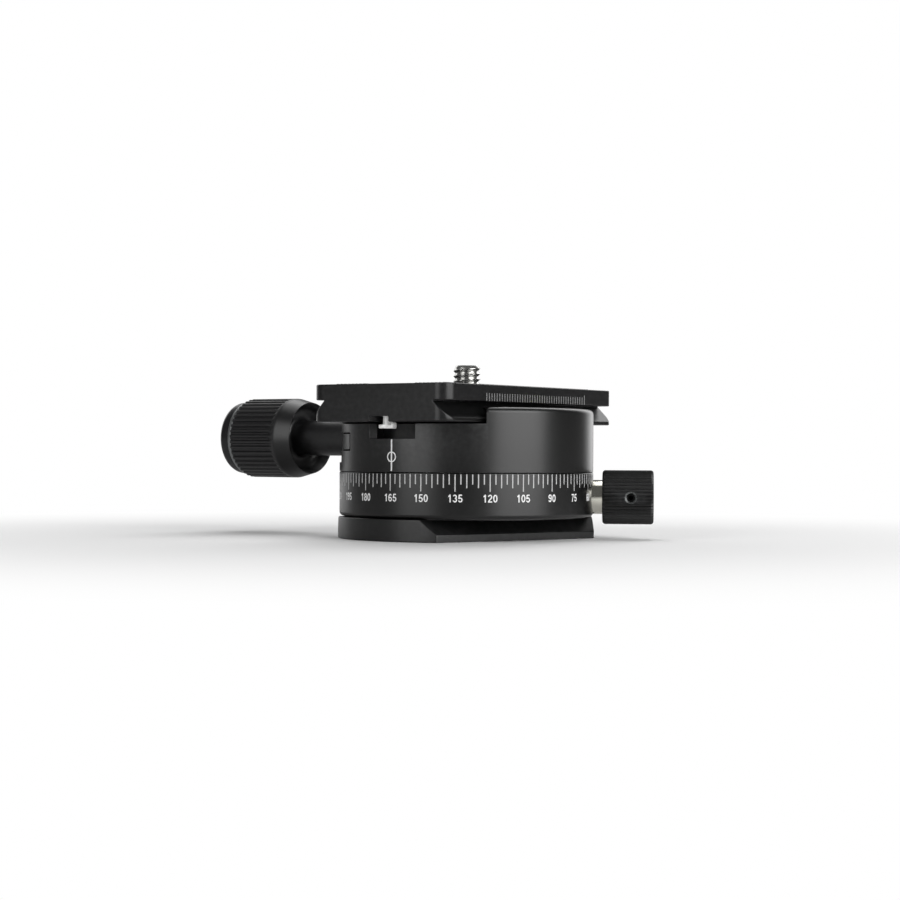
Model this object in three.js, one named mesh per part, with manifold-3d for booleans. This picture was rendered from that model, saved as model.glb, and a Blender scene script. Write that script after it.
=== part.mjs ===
// Panoramic tripod head: a foot with a threaded socket, a graduated ring with a pan lock,
// a turntable that ends in a screw clamp, and a quick-release plate held in the clamp.
// Millimetres, +Z up, origin on the pan axis at the underside of the foot.
// The clamp's groove runs along Y and its knob points along -X.
import * as THREE from "three";
import { mergeVertices } from "three/addons/utils/BufferGeometryUtils.js";
import Module from "manifold-3d";

// Fineness of round surfaces, as counts of sides
const drum_sides = 64;
const bearing_sides = 40;
const middle_sides = 28;
const small_sides = 12;
const fillet_steps = 3;
const edge_steps = 2;

// Shared values
const running_gap = 0.3; // free space left between neighbours
const cut_overrun = 2; // how far a cutting tool reaches past the face that it opens
const weld_distance = 0.0001; // vertices closer than this are one
const dovetail_width = 38; // across the outer edges of the foot and of the plate, one standard

// Foot: a round plate with a dovetail under it, turned away from the clamp's groove
const foot_reach = 0.3; // past the drum, all round
const foot_height = 5.1;
const foot_edge_height = 1.7; // upright edge below the 45 degree slopes
const foot_turn_deg = -17.1; // direction of the dovetail's flat side
const seam_height = 0.4; // shadow gap between foot and ring
const seam_inset = 1.7;
const socket_diameter = 7.94; // minor diameter of the 3/8 inch thread
const bushing_wall = 2.23;
const bushing_length = 11.2;
const bushing_flange_reach = 1.2; // past the bushing's wall
const bushing_flange_height = 1.1;
const bushing_recess = 0.2; // below the foot's underside
const boss_wall = 2.1; // round the bushing's hole
const boss_roof = 1.9; // over the bushing's hole

// Countersunk screws that hold the foot to the ring
const foot_screw_inset = 5.5; // from the drum's side
const foot_screw_spread_deg = 25; // either side of the dovetail's long direction
const foot_screw_diameter = 3;
const foot_screw_head_diameter = 5.6;
const foot_screw_head_height = 1.6;
const foot_screw_length = 10;
const foot_screw_socket = 2; // across corners of the hexagon
const foot_screw_socket_depth = 1.2;
const foot_screw_recess = 0.2;

// Graduated ring
const ring_height = 10.1;
const ring_bottom_chamfer = 0.7;
const ring_top_chamfer = 0.25;
const glide_rim = 3; // from the drum's side to the glide ring
const glide_width = 6;
const glide_groove_depth = 0.75;
const pan_gap = 0.25; // between ring and turntable

// Spindle and its retainer
const spindle_wall = 6.4;
const spindle_seat_depth = 1;
const retainer_thickness = 1.2;
const retainer_reach = 3.6; // past the spindle
const retainer_lift = 0.3; // above the foot's spigot
const retainer_boss_room = 0.7; // round the foot's boss
const lower_glide_thickness = 0.5;
const spindle_screw_count = 3;
const retainer_screw_diameter = 2.5;
const retainer_screw_head_diameter = 4.7;
const retainer_screw_head_height = 1;
const retainer_screw_length = 7;
const retainer_screw_socket = 1.7;
const retainer_screw_socket_depth = 0.7;

// Turntable with the fixed jaw
const turntable_height = 10.85; // from its underside to the groove's floor
const jaw_height = 3.7; // jaws above the groove's floor
const drum_fillet = 1.25;
const groove_side_room = 1.3; // from the plate to the upright walls at the rim
const jaw_thickness = 9.7; // from those walls to the drum's side
const jaw_ledge_height = 1.9; // turntable left under the moving jaw
const lip_half_length = 18; // the undercut lips stop short of the rim
const lip_root = 0.7; // how far a lip reaches into its jaw
const pocket_width = 13.5; // stop pockets at the groove's ends
const pocket_depth = 3.45;
const pocket_end_room = 0.4; // left before a stop screw meets the pocket's end wall
const turntable_screw_diameter = 4;
const turntable_screw_head_diameter = 7;
const turntable_screw_head_height = 4;
const turntable_screw_length = 12;
const turntable_screw_recess = 0.4;
const turntable_screw_socket = 3.4;
const turntable_screw_socket_depth = 2;

// Bubble level in the top of the fixed jaw
const level_margin = 0.8; // from the level's pocket to the plate's side and to the drum's fillet
const level_height = 5.4;
const level_recess = 0.15;
const level_wall = 0.6;
const level_floor = 0.8;
const level_lens_height = 1.6;
const level_lens_recess = 0.65; // below the cup's rim
const level_lens_crown = 0.35;

// Moving jaw, its tongues and springs
const moving_jaw_inset = 0.6; // from the drum's side
const tongue_length = 5.3; // along the jaw's travel
const tongue_width = 3.5; // inwards from the jaw's round side
const tongue_bottom = 4.9; // above the turntable's underside
const tongue_height = 3.6;
const spring_offset = 11.5; // from the clamp screw
const spring_diameter = 4.6;
const spring_wire = 0.7;
const spring_room = 0.4; // round the spring in its bore
const spring_jaw_depth = 4;
const spring_body_depth = 6;

// Clamp screw and knob, along -X
const clamp_roof = 0.35; // metal between the screw's bore and the groove's floor
const clamp_screw_diameter = 5;
const clamp_screw_length = 55;
const clamp_screw_head_diameter = 8.5;
const clamp_screw_head_height = 5;
const clamp_screw_head_recess = 0.2; // below the end of the knob's core
const clamp_screw_socket = 4.6;
const clamp_screw_socket_depth = 2.5;
const clamp_tip_room = 2; // free depth past the screw's tip
const clamp_stem_diameter = 8.7;
const thrust_washer_reach = 0.85; // past the knob's stem
const thrust_washer_thickness = 0.9;
const spotface_depth = 0.8; // seat of the thrust washer, into the moving jaw
const spotface_room = 0.5; // round the thrust washer
const clamp_knob_standoff = 17; // from the drum's side to the knob's rim
const clamp_knob_diameter = 19.8;
const clamp_rim_radius = 0.6;
const clamp_band_length = 4.5;
const clamp_grip_length = 14.7;
const clamp_dish_depth = 3.4;
const clamp_dish_wall = 0.9;
const clamp_dish_root = 1.3;
const clamp_rib_count = 43;
const clamp_rib_height = 0.5;
const clamp_grip_wall = 0.5; // under the ribs
const clamp_cap_length = 3.8;
const clamp_cap_inset = 0.9; // from the grip's outside
const clamp_cap_round = 1.6;
const set_screw_diameter = 3.4;
const set_screw_offset = 4.5; // from the end of the smooth band
const set_screw_socket = 1.8;
const set_screw_socket_depth = 1.6;

// Pan lock, on a radial axis of its own
const lock_turn_deg = 29.4;
const lock_screw_diameter = 5;
const lock_bushing_wall = 0.7;
const lock_bushing_length = 7.2;
const lock_shoulder_reach = 0.5; // past the bushing's wall
const lock_spotface_room = 0.2; // round the shoulder
const lock_spotface_depth = 0.6;
const lock_spotface_lift = 0.15; // above the ring's underside
const lock_knob_standoff = 2.2; // from the drum's side
const lock_knob_length = 12;
const lock_knob_diameter = 12.7;
const lock_knob_round = 0.8;
const lock_knob_end_wall = 1.6;
const lock_rib_count = 44;
const lock_rib_height = 0.22;
const grub_offset = 6.7; // from the knob's near end
const grub_diameter = 2.1;
const grub_recess = 0.4;
const grub_socket = 1.3;
const grub_socket_depth = 1;
const shoe_floor = 0.45; // metal between the shoe's bore and the retainer's room

// Quick-release plate, slid into the groove
const plate_length = 71;
const plate_corner_radius = 3.4;
const plate_edge_height = 0.75; // upright edge below the 45 degree slopes
const plate_slope_height = 4;
const plate_flange_height = 3.5;
const plate_lift = 0.3; // above the groove's floor
const plate_travel = 5; // either way along the groove
const plate_notch_room = 0.15; // beside the stop screw's head
const plate_notch_depth = 1.4;
const stop_inset = 4; // of the stop screws from the plate's ends
const stop_head_diameter = 4.2;
const stop_head_height = 1.5;
const stop_neck_diameter = 2;
const stop_length = 4.6; // of the neck, up into the plate
const stop_drop = 0.3; // bare neck between plate and head
const stop_slot_width = 0.6;
const stop_slot_depth = 0.6;
const pad_side_margin = 3.7; // from the plate's side
const pad_slot_margin = 1.9; // from the clip's channel
const pad_end_margin = 4.5; // from the plate's ends
const pad_recess = 0.5;
const pad_thickness = 1;
const pad_groove_count = 3;
const pad_groove_width = 0.8;
const pad_groove_depth = 0.35;

// Camera screw, captive in the plate's slot
const camera_screw_diameter = 6.35; // 1/4 inch thread
const camera_screw_reach = 5.5; // above the plate
const camera_screw_travel = 8; // either way along the slot
const camera_head_diameter = 13;
const camera_head_recess = 0.5; // above the plate's underside
const camera_head_slot_width = 1.6;
const camera_head_slot_depth = 1.8;
const slot_web_height = 2.75; // metal left above the head's recess
const screw_washer_thickness = 0.6;
const clip_diameter = 9;
const clip_thickness = 0.5;
const clip_groove_depth = 0.6;
const clip_recess_depth = 0.9;
const clip_opening_width = 2.6;

// Levels, radii and distances that follow from the sizes above
const plate_half = dovetail_width / 2;
const groove_half = plate_half + groove_side_room;
const drum_radius = groove_half + jaw_thickness;
const foot_radius = drum_radius + foot_reach;
const foot_screw_radius = drum_radius - foot_screw_inset;
const ring_bottom = foot_height + seam_height;
const ring_top = ring_bottom + ring_height;
const turntable_bottom = ring_top + pan_gap;
const groove_floor = turntable_bottom + turntable_height;
const drum_top = groove_floor + jaw_height;
const bushing_radius = socket_diameter / 2 + bushing_wall;
const bushing_flange_radius = bushing_radius + bushing_flange_reach;
const boss_radius = bushing_radius + running_gap + boss_wall;
const boss_top = bushing_recess + bushing_length + running_gap + boss_roof;
const retainer_bore_radius = boss_radius + retainer_boss_room;
const spindle_bore_radius = retainer_bore_radius + running_gap;
const spindle_radius = spindle_bore_radius + spindle_wall;
const spindle_screw_radius = (spindle_bore_radius + spindle_radius) / 2;
const retainer_radius = spindle_radius + retainer_reach;
const counterbore_radius = retainer_radius + running_gap * 2;
const retainer_bottom = ring_bottom + retainer_lift;
const retainer_top = retainer_bottom + retainer_thickness;
const counterbore_top = retainer_top + lower_glide_thickness;
const spindle_top = turntable_bottom + spindle_seat_depth;
const glide_outer_radius = drum_radius - glide_rim;
const glide_inner_radius = glide_outer_radius - glide_width;
const plate_bottom = groove_floor + plate_lift;
const slope_bottom = plate_bottom + plate_edge_height;
const flange_bottom = slope_bottom + plate_slope_height;
const plate_top = flange_bottom + plate_flange_height;
const slope_gap = running_gap * Math.SQRT2; // level distance that keeps the gap square to a slope
const lip_top_x = plate_half + slope_gap - (drum_top - slope_bottom);
const web_bottom = plate_top - slot_web_height;
const stop_distance = plate_length / 2 - stop_inset;
const stop_head_radius = stop_head_diameter / 2;
const pocket_inner = stop_distance - plate_travel - stop_head_radius - pocket_end_room;
const clip_channel_radius = clip_diameter / 2 + running_gap;
const pad_inner = clip_channel_radius + pad_slot_margin;
const pad_outer = plate_half - pad_side_margin;
const pad_width = pad_outer - pad_inner;
const pad_length = plate_length - pad_end_margin * 2;
const level_near = plate_half + level_margin;
const level_far = drum_radius - drum_fillet - level_margin;
const level_distance = (level_near + level_far) / 2;
const level_radius = (level_far - level_near) / 2 - running_gap / 2;
const moving_jaw_radius = drum_radius - moving_jaw_inset;
const moving_jaw_inner = groove_half + running_gap;
const tongue_inner = Math.sqrt(moving_jaw_radius ** 2 - moving_jaw_inner ** 2) - tongue_width;
const spring_bore_radius = spring_diameter / 2 + spring_room;
const clamp_bore_radius = clamp_screw_diameter / 2 + running_gap;
const clamp_axis_height = groove_floor - clamp_roof - clamp_bore_radius;
const thrust_washer_radius = clamp_stem_diameter / 2 + thrust_washer_reach;
const spotface_radius = thrust_washer_radius + spotface_room;
const spotface_distance = moving_jaw_radius - spotface_depth;
const clamp_knob_start = drum_radius + clamp_knob_standoff;
const clamp_band_end = clamp_knob_start + clamp_band_length;
const clamp_grip_end = clamp_band_end + clamp_grip_length;
const clamp_screw_seat = clamp_grip_end - clamp_screw_head_recess - clamp_screw_head_height;
const clamp_screw_tip = clamp_screw_seat - clamp_screw_length;
const lock_bushing_bore_radius = lock_screw_diameter / 2 + running_gap;
const lock_bushing_radius = lock_bushing_bore_radius + lock_bushing_wall;
const lock_shoulder_radius = lock_bushing_radius + lock_shoulder_reach;
const lock_spotface_radius = lock_shoulder_radius + lock_spotface_room;
const lock_spotface_distance = drum_radius - lock_spotface_depth;
const lock_axis_height = ring_bottom + lock_spotface_lift + lock_spotface_radius;
const lock_knob_start = drum_radius + lock_knob_standoff;
const shoe_radius = lock_axis_height - counterbore_top - shoe_floor - running_gap;

const finishes = {
  black_anodised: { color: 0x1b1b1d, roughness: 0.38, metalness: 0.6 },
  black_matte: { color: 0x161617, roughness: 0.6, metalness: 0.2 },
  black_gloss: { color: 0x0e0e10, roughness: 0.25, metalness: 0.1 },
  steel: { color: 0xb9b9b6, roughness: 0.25, metalness: 1 },
  dark_steel: { color: 0x2a2a2c, roughness: 0.4, metalness: 0.9 },
  chrome: { color: 0xdcdcda, roughness: 0.08, metalness: 1 },
  brass: { color: 0xb08d4a, roughness: 0.35, metalness: 1 },
  white_nylon: { color: 0xdedbd2, roughness: 0.5, metalness: 0 },
  rubber: { color: 0x121212, roughness: 0.85, metalness: 0 },
  level_green: { color: 0x9fd13a, roughness: 0.1, metalness: 0 },
  clear: { color: 0xe8f2ea, roughness: 0.05, metalness: 0 },
};

const wasm = await Module();
wasm.setup();

// Closed geometry to solid: vertices are welded by position and collapsed faces dropped.
function solid(geometry) {
  const bare = geometry.clone();
  bare.deleteAttribute("normal");
  bare.deleteAttribute("uv");
  const welded = mergeVertices(bare, weld_distance);
  const corners = welded.index.array;
  const kept = [];
  for (let i = 0; i < corners.length; i += 3) {
    const [a, b, c] = corners.slice(i, i + 3);
    if (a !== b && b !== c && c !== a) kept.push(a, b, c);
  }
  const vertProperties = welded.getAttribute("position").array;
  const triVerts = new Uint32Array(kept);
  return new wasm.Manifold(new wasm.Mesh({ numProp: 3, vertProperties, triVerts }));
}

// Solid back to geometry.
function geometryOf(made) {
  const mesh = made.getMesh();
  const geometry = new THREE.BufferGeometry();
  geometry.setAttribute("position", new THREE.BufferAttribute(mesh.vertProperties, 3));
  geometry.setIndex(new THREE.BufferAttribute(mesh.triVerts, 1));
  return geometry;
}

const clean = (geometry) => geometryOf(solid(geometry));

function join(first, ...others) {
  return geometryOf(others.reduce((sum, g) => sum.add(solid(g)), solid(first)));
}

function cut(first, ...tools) {
  return geometryOf(tools.reduce((rest, g) => rest.subtract(solid(g)), solid(first)));
}

function overlapOf(first, second) {
  return geometryOf(solid(first).intersect(solid(second)));
}

// Turned about Z from [radius, height] pairs, outwards along the bottom first.
function turned(profile, sides) {
  const points = profile.map(([r, z]) => new THREE.Vector2(r, z));
  return clean(new THREE.LatheGeometry(points, sides).rotateX(Math.PI / 2));
}

function rod(radius, low, high, sides) {
  return turned([[0, low], [radius, low], [radius, high], [0, high]], sides);
}

function tube(inner, outer, low, high, sides) {
  return turned(
    [[inner, low], [outer, low], [outer, high], [inner, high], [inner, low]],
    sides,
  );
}

// Box from its lowest to its highest corner.
function block(low, high) {
  const size = high.map((value, i) => value - low[i]);
  const middle = high.map((value, i) => (value + low[i]) / 2);
  return new THREE.BoxGeometry(...size).translate(...middle);
}

// A shape of [x, y] points raised along Z.
function raised(points, low, high) {
  const shape = new THREE.Shape(points.map(([x, y]) => new THREE.Vector2(x, y)));
  const settings = { depth: high - low, bevelEnabled: false };
  return new THREE.ExtrudeGeometry(shape, settings).translate(0, 0, low);
}

// A section of [x, z] points carried along Y.
function carried(points, low, high) {
  return raised(points, -high, -low).rotateX(Math.PI / 2);
}

// Rod whose length runs along X.
const rodAlongX = (radius, low, high, sides) => rod(radius, low, high, sides).rotateY(Math.PI / 2);

function roundedRectangle(width, length, radius) {
  const points = [];
  const corners = [[1, 1], [-1, 1], [-1, -1], [1, -1]];
  corners.forEach(([sx, sy], quarter) => {
    for (let step = 0; step <= fillet_steps; step += 1) {
      const angle = (quarter + step / fillet_steps) * (Math.PI / 2);
      points.push([
        sx * (width / 2 - radius) + radius * Math.cos(angle),
        sy * (length / 2 - radius) + radius * Math.sin(angle),
      ]);
    }
  });
  return points;
}

// Points of a quarter round that turns a profile's corner, from level to upright or back.
function quarterRound(centre_r, centre_z, radius, from_deg, to_deg, steps = edge_steps) {
  const points = [];
  for (let step = 0; step <= steps; step += 1) {
    const angle = THREE.MathUtils.degToRad(from_deg + ((to_deg - from_deg) * step) / steps);
    points.push([centre_r + radius * Math.cos(angle), centre_z + radius * Math.sin(angle)]);
  }
  return points;
}

// Straight ribs round a circle. Each corner of a rib is a share of its pitch and of its height.
const flat_rib_shares = [[0, 0], [0.18, 1], [0.6, 1], [0.78, 0]];
const fine_rib_shares = [[0, 0], [0.5, 1]];
function ribbedCircle(tip_radius, rib_height, ribs, corner_shares) {
  const points = [];
  for (let rib = 0; rib < ribs; rib += 1) {
    for (const [pitch_share, height_share] of corner_shares) {
      const angle = ((rib + pitch_share) * 2 * Math.PI) / ribs;
      const radius = tip_radius - (1 - height_share) * rib_height;
      points.push([radius * Math.cos(angle), radius * Math.sin(angle)]);
    }
  }
  return points;
}

const hexagon = (across_corners, low, high) => rod(across_corners / 2, low, high, 6);

function piece(name, geometry, finish) {
  const drawn = geometry.index ? geometry.toNonIndexed() : geometry;
  drawn.computeVertexNormals();
  const mesh = new THREE.Mesh(drawn, new THREE.MeshStandardMaterial(finishes[finish]));
  mesh.name = name;
  return mesh;
}

function group(...members) {
  const made = new THREE.Group();
  made.add(...members);
  return made;
}

// A countersunk screw, head down at height zero, with a hexagon in the head.
function countersunkScrew(shank, head, head_height, length, socket, socket_depth) {
  const blank = turned(
    [[0, 0], [head / 2, 0], [shank / 2, head_height], [shank / 2, length], [0, length]],
    small_sides,
  );
  return cut(blank, hexagon(socket, -cut_overrun, socket_depth));
}

// The hole that such a screw passes through, a running gap wider all round.
function countersunkHole(shank, head, head_height, length) {
  const wide = head / 2 + running_gap;
  const narrow = shank / 2 + running_gap;
  const slope = (head - shank) / 2 / head_height;
  const cone_top = head_height + running_gap;
  return turned(
    [
      [0, -cut_overrun],
      [wide + running_gap * slope, -cut_overrun],
      [wide + running_gap * slope, 0],
      [narrow, cone_top],
      [narrow, length + running_gap],
      [0, length + running_gap],
    ],
    small_sides,
  );
}

// A cap screw with its head's seat at height zero and its shank below.
function capScrew(shank, length, head, head_height, socket, socket_depth, sides) {
  const blank = turned(
    [
      [0, -length],
      [shank / 2, -length],
      [shank / 2, 0],
      [head / 2, 0],
      [head / 2, head_height],
      [0, head_height],
    ],
    sides,
  );
  return cut(blank, hexagon(socket, head_height - socket_depth, head_height + cut_overrun));
}

// Places on a circle about the pan axis.
function onCircle(radius, angle_deg) {
  const angle = THREE.MathUtils.degToRad(angle_deg);
  return [radius * Math.cos(angle), radius * Math.sin(angle)];
}

const foot_screw_angles = [90 - foot_screw_spread_deg, 90 + foot_screw_spread_deg].flatMap(
  (offset) => [foot_turn_deg + offset, foot_turn_deg + offset + 180],
);
const turntable_screw_angles = Array.from(
  { length: spindle_screw_count },
  (_, i) => (i * 360) / spindle_screw_count,
);
const retainer_screw_angles = turntable_screw_angles.map(
  (angle) => angle + 180 / spindle_screw_count,
);

function footScrewHole(angle) {
  const hole = countersunkHole(
    foot_screw_diameter,
    foot_screw_head_diameter,
    foot_screw_head_height,
    foot_screw_length,
  );
  return hole.translate(...onCircle(foot_screw_radius, angle), foot_screw_recess);
}

function footPlate() {
  const disc = turned(
    [
      [0, 0],
      [foot_radius, 0],
      [foot_radius, foot_height],
      [drum_radius - seam_inset, foot_height],
      [drum_radius - seam_inset, ring_bottom],
      [boss_radius, ring_bottom],
      [boss_radius, boss_top],
      [0, boss_top],
    ],
    drum_sides,
  );
  const half = dovetail_width / 2;
  const past = foot_radius * 2;
  const flank = (side) =>
    raised(
      [
        [side * half, -cut_overrun],
        [side * past, -cut_overrun],
        [side * past, foot_height],
        [side * (half - foot_height + foot_edge_height), foot_height],
        [side * half, foot_edge_height],
      ],
      -past,
      past,
    )
      .rotateX(Math.PI / 2)
      .rotateZ(THREE.MathUtils.degToRad(foot_turn_deg));
  const bushing_hole = turned(
    [
      [0, -cut_overrun],
      [bushing_flange_radius + running_gap, -cut_overrun],
      [bushing_flange_radius + running_gap, bushing_recess + bushing_flange_height],
      [bushing_radius + running_gap, bushing_recess + bushing_flange_height],
      [bushing_radius + running_gap, boss_top - boss_roof],
      [0, boss_top - boss_roof],
    ],
    middle_sides,
  );
  return cut(disc, flank(1), flank(-1), bushing_hole, ...foot_screw_angles.map(footScrewHole));
}

function socketBushing() {
  return turned(
    [
      [socket_diameter / 2, 0],
      [bushing_flange_radius, 0],
      [bushing_flange_radius, bushing_flange_height],
      [bushing_radius, bushing_flange_height],
      [bushing_radius, bushing_length],
      [socket_diameter / 2, bushing_length],
      [socket_diameter / 2, 0],
    ],
    middle_sides,
  ).translate(0, 0, bushing_recess);
}

function dialRing() {
  const bore = spindle_radius + running_gap;
  const groove_inner = glide_inner_radius - running_gap;
  const groove_outer = glide_outer_radius + running_gap;
  const groove_bottom = ring_top - glide_groove_depth;
  const blank = turned(
    [
      [counterbore_radius, ring_bottom],
      [drum_radius - ring_bottom_chamfer, ring_bottom],
      [drum_radius, ring_bottom + ring_bottom_chamfer],
      [drum_radius, ring_top - ring_top_chamfer],
      [drum_radius - ring_top_chamfer, ring_top],
      [groove_outer, ring_top],
      [groove_outer, groove_bottom],
      [groove_inner, groove_bottom],
      [groove_inner, ring_top],
      [bore, ring_top],
      [bore, counterbore_top],
      [counterbore_radius, counterbore_top],
      [counterbore_radius, ring_bottom],
    ],
    drum_sides,
  );
  const bushing_start = lock_spotface_distance - lock_bushing_length;
  const lock_bore = join(
    rodAlongX(
      lock_spotface_radius,
      lock_spotface_distance,
      drum_radius + cut_overrun,
      middle_sides,
    ),
    rodAlongX(
      lock_bushing_radius + running_gap,
      bushing_start - running_gap,
      drum_radius,
      middle_sides,
    ),
    rodAlongX(shoe_radius + running_gap, bore - cut_overrun, bushing_start, middle_sides),
  )
    .translate(0, 0, lock_axis_height)
    .rotateZ(THREE.MathUtils.degToRad(lock_turn_deg));
  return cut(blank, lock_bore, ...foot_screw_angles.map(footScrewHole));
}

function base() {
  const screws = foot_screw_angles.map((angle, i) => {
    const screw = piece(
      `foot_screw_${i + 1}`,
      countersunkScrew(
        foot_screw_diameter,
        foot_screw_head_diameter,
        foot_screw_head_height,
        foot_screw_length,
        foot_screw_socket,
        foot_screw_socket_depth,
      ),
      "dark_steel",
    );
    screw.position.set(...onCircle(foot_screw_radius, angle), foot_screw_recess);
    return screw;
  });
  const glide = tube(
    glide_inner_radius,
    glide_outer_radius,
    ring_top - glide_groove_depth,
    turntable_bottom,
    bearing_sides,
  );
  return group(
    piece("foot_plate", footPlate(), "black_anodised"),
    piece("socket_bushing", socketBushing(), "steel"),
    piece("dial_ring", dialRing(), "black_anodised"),
    piece("upper_glide_ring", glide, "white_nylon"),
    ...screws,
  );
}

function retainerScrewHole(angle) {
  const hole = countersunkHole(
    retainer_screw_diameter,
    retainer_screw_head_diameter,
    retainer_screw_head_height,
    retainer_screw_length,
  );
  return hole.translate(...onCircle(spindle_screw_radius, angle), retainer_bottom);
}

// Room for a turntable screw: its shank down into the spindle and its head below the groove.
function turntableScrewHole(angle) {
  const seat = groove_floor - turntable_screw_recess - turntable_screw_head_height;
  const shank = turntable_screw_diameter / 2 + running_gap;
  const head = turntable_screw_head_diameter / 2 + running_gap;
  const low = seat - turntable_screw_length - running_gap;
  return turned(
    [
      [0, low],
      [shank, low],
      [shank, seat],
      [head, seat],
      [head, groove_floor + cut_overrun],
      [0, groove_floor + cut_overrun],
    ],
    small_sides,
  ).translate(...onCircle(spindle_screw_radius, angle), 0);
}

function drumBlank(radius, bottom) {
  return turned(
    [
      [0, bottom],
      [radius, bottom],
      ...quarterRound(
        radius - drum_fillet,
        drum_top - drum_fillet,
        drum_fillet,
        0,
        90,
        fillet_steps,
      ),
      [0, drum_top],
    ],
    drum_sides,
  );
}

// Section of an undercut lip beside the plate's slope, side 1 for +X and -1 for -X.
function lip(side, floor) {
  const low_x = plate_half + slope_gap;
  return carried(
    [
      [side * low_x, floor],
      [side * (groove_half + lip_root), floor],
      [side * (groove_half + lip_root), drum_top],
      [side * lip_top_x, drum_top],
      [side * low_x, slope_bottom],
    ],
    -lip_half_length,
    lip_half_length,
  );
}

const clampBore = (radius, near, far) =>
  rodAlongX(radius, -far, -near, middle_sides).translate(0, 0, clamp_axis_height);

const springBore = (side, near, far) =>
  rodAlongX(spring_bore_radius, -far, -near, small_sides).translate(
    0,
    side * spring_offset,
    clamp_axis_height,
  );

function turntableBody() {
  const past = drum_radius * 2;
  const groove = block(
    [-past, -past, groove_floor],
    [groove_half, past, drum_top + cut_overrun],
  );
  const jaw_room = block(
    [-past, -past, turntable_bottom + jaw_ledge_height],
    [-groove_half, past, drum_top + cut_overrun],
  );
  const pocket = (side) =>
    block(
      [-pocket_width / 2, Math.min(side * pocket_inner, side * past), groove_floor - pocket_depth],
      [pocket_width / 2, Math.max(side * pocket_inner, side * past), drum_top + cut_overrun],
    );
  const slot_end = -groove_half - running_gap + tongue_length + running_gap * 2;
  const slot_inner = tongue_inner - running_gap;
  const slot_bottom = turntable_bottom + tongue_bottom - running_gap;
  const slot_top = turntable_bottom + tongue_bottom + tongue_height + running_gap;
  const tongue_slot = (side) =>
    block(
      [-past, Math.min(side * slot_inner, side * past), slot_bottom],
      [slot_end, Math.max(side * slot_inner, side * past), slot_top],
    );
  const seat = rod(
    spindle_radius + running_gap,
    turntable_bottom - cut_overrun,
    spindle_top,
    bearing_sides,
  );
  const level_pocket = rod(
    level_radius + running_gap / 2,
    drum_top - level_recess - level_height - running_gap,
    drum_top + cut_overrun,
    middle_sides,
  ).translate(level_distance, 0, 0);
  const opened = cut(drumBlank(drum_radius, turntable_bottom), groove, jaw_room);
  return cut(
    join(opened, lip(1, groove_floor - lip_root)),
    pocket(1),
    pocket(-1),
    tongue_slot(1),
    tongue_slot(-1),
    seat,
    level_pocket,
    clampBore(clamp_bore_radius, clamp_screw_tip - clamp_tip_room, groove_half + cut_overrun),
    springBore(1, groove_half - spring_body_depth, groove_half + cut_overrun),
    springBore(-1, groove_half - spring_body_depth, groove_half + cut_overrun),
    ...turntable_screw_angles.map(turntableScrewHole),
  );
}

function spindle() {
  const blank = tube(
    spindle_bore_radius,
    spindle_radius,
    retainer_top,
    spindle_top,
    bearing_sides,
  );
  return cut(
    blank,
    ...turntable_screw_angles.map(turntableScrewHole),
    ...retainer_screw_angles.map(retainerScrewHole),
  );
}

function bubbleLevel() {
  const inner = level_radius - level_wall;
  const inside = inner - running_gap / 2;
  const top = drum_top - level_recess;
  const bottom = top - level_height;
  const cup = cut(
    rod(level_radius, bottom, top, middle_sides),
    rod(inner, bottom + level_floor, top + cut_overrun, middle_sides),
  );
  const lens_top = top - level_lens_recess;
  const lens_edge = lens_top - level_lens_crown;
  const lens_bottom = lens_edge - level_lens_height;
  const fluid = rod(inside, bottom + level_floor, lens_bottom, middle_sides);
  const lens = turned(
    [
      [0, lens_bottom],
      [inside, lens_bottom],
      [inside, lens_edge],
      [inside / 2, lens_top],
      [0, lens_top],
    ],
    middle_sides,
  );
  const made = group(
    piece("level_cup", cup, "brass"),
    piece("level_fluid", fluid, "level_green"),
    piece("level_lens", lens, "clear"),
  );
  made.position.x = level_distance;
  return made;
}

function turntable() {
  const retainer = cut(
    tube(retainer_bore_radius, retainer_radius, retainer_bottom, retainer_top, bearing_sides),
    ...retainer_screw_angles.map(retainerScrewHole),
  );
  const lower_glide = tube(
    spindle_radius + running_gap,
    retainer_radius,
    retainer_top,
    counterbore_top,
    bearing_sides,
  );
  const retainer_screws = retainer_screw_angles.map((angle, i) => {
    const screw = piece(
      `retainer_screw_${i + 1}`,
      countersunkScrew(
        retainer_screw_diameter,
        retainer_screw_head_diameter,
        retainer_screw_head_height,
        retainer_screw_length,
        retainer_screw_socket,
        retainer_screw_socket_depth,
      ),
      "dark_steel",
    );
    screw.position.set(...onCircle(spindle_screw_radius, angle), retainer_bottom);
    return screw;
  });
  const turntable_screws = turntable_screw_angles.map((angle, i) => {
    const screw = piece(
      `turntable_screw_${i + 1}`,
      capScrew(
        turntable_screw_diameter,
        turntable_screw_length,
        turntable_screw_head_diameter,
        turntable_screw_head_height,
        turntable_screw_socket,
        turntable_screw_socket_depth,
        small_sides,
      ),
      "dark_steel",
    );
    const seat = groove_floor - turntable_screw_recess - turntable_screw_head_height;
    screw.position.set(...onCircle(spindle_screw_radius, angle), seat);
    return screw;
  });
  return group(
    piece("turntable_body", turntableBody(), "black_anodised"),
    piece("spindle", spindle(), "steel"),
    piece("spindle_retainer", retainer, "steel"),
    piece("lower_glide_washer", lower_glide, "white_nylon"),
    ...retainer_screws,
    ...turntable_screws,
    bubbleLevel(),
  );
}

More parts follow.
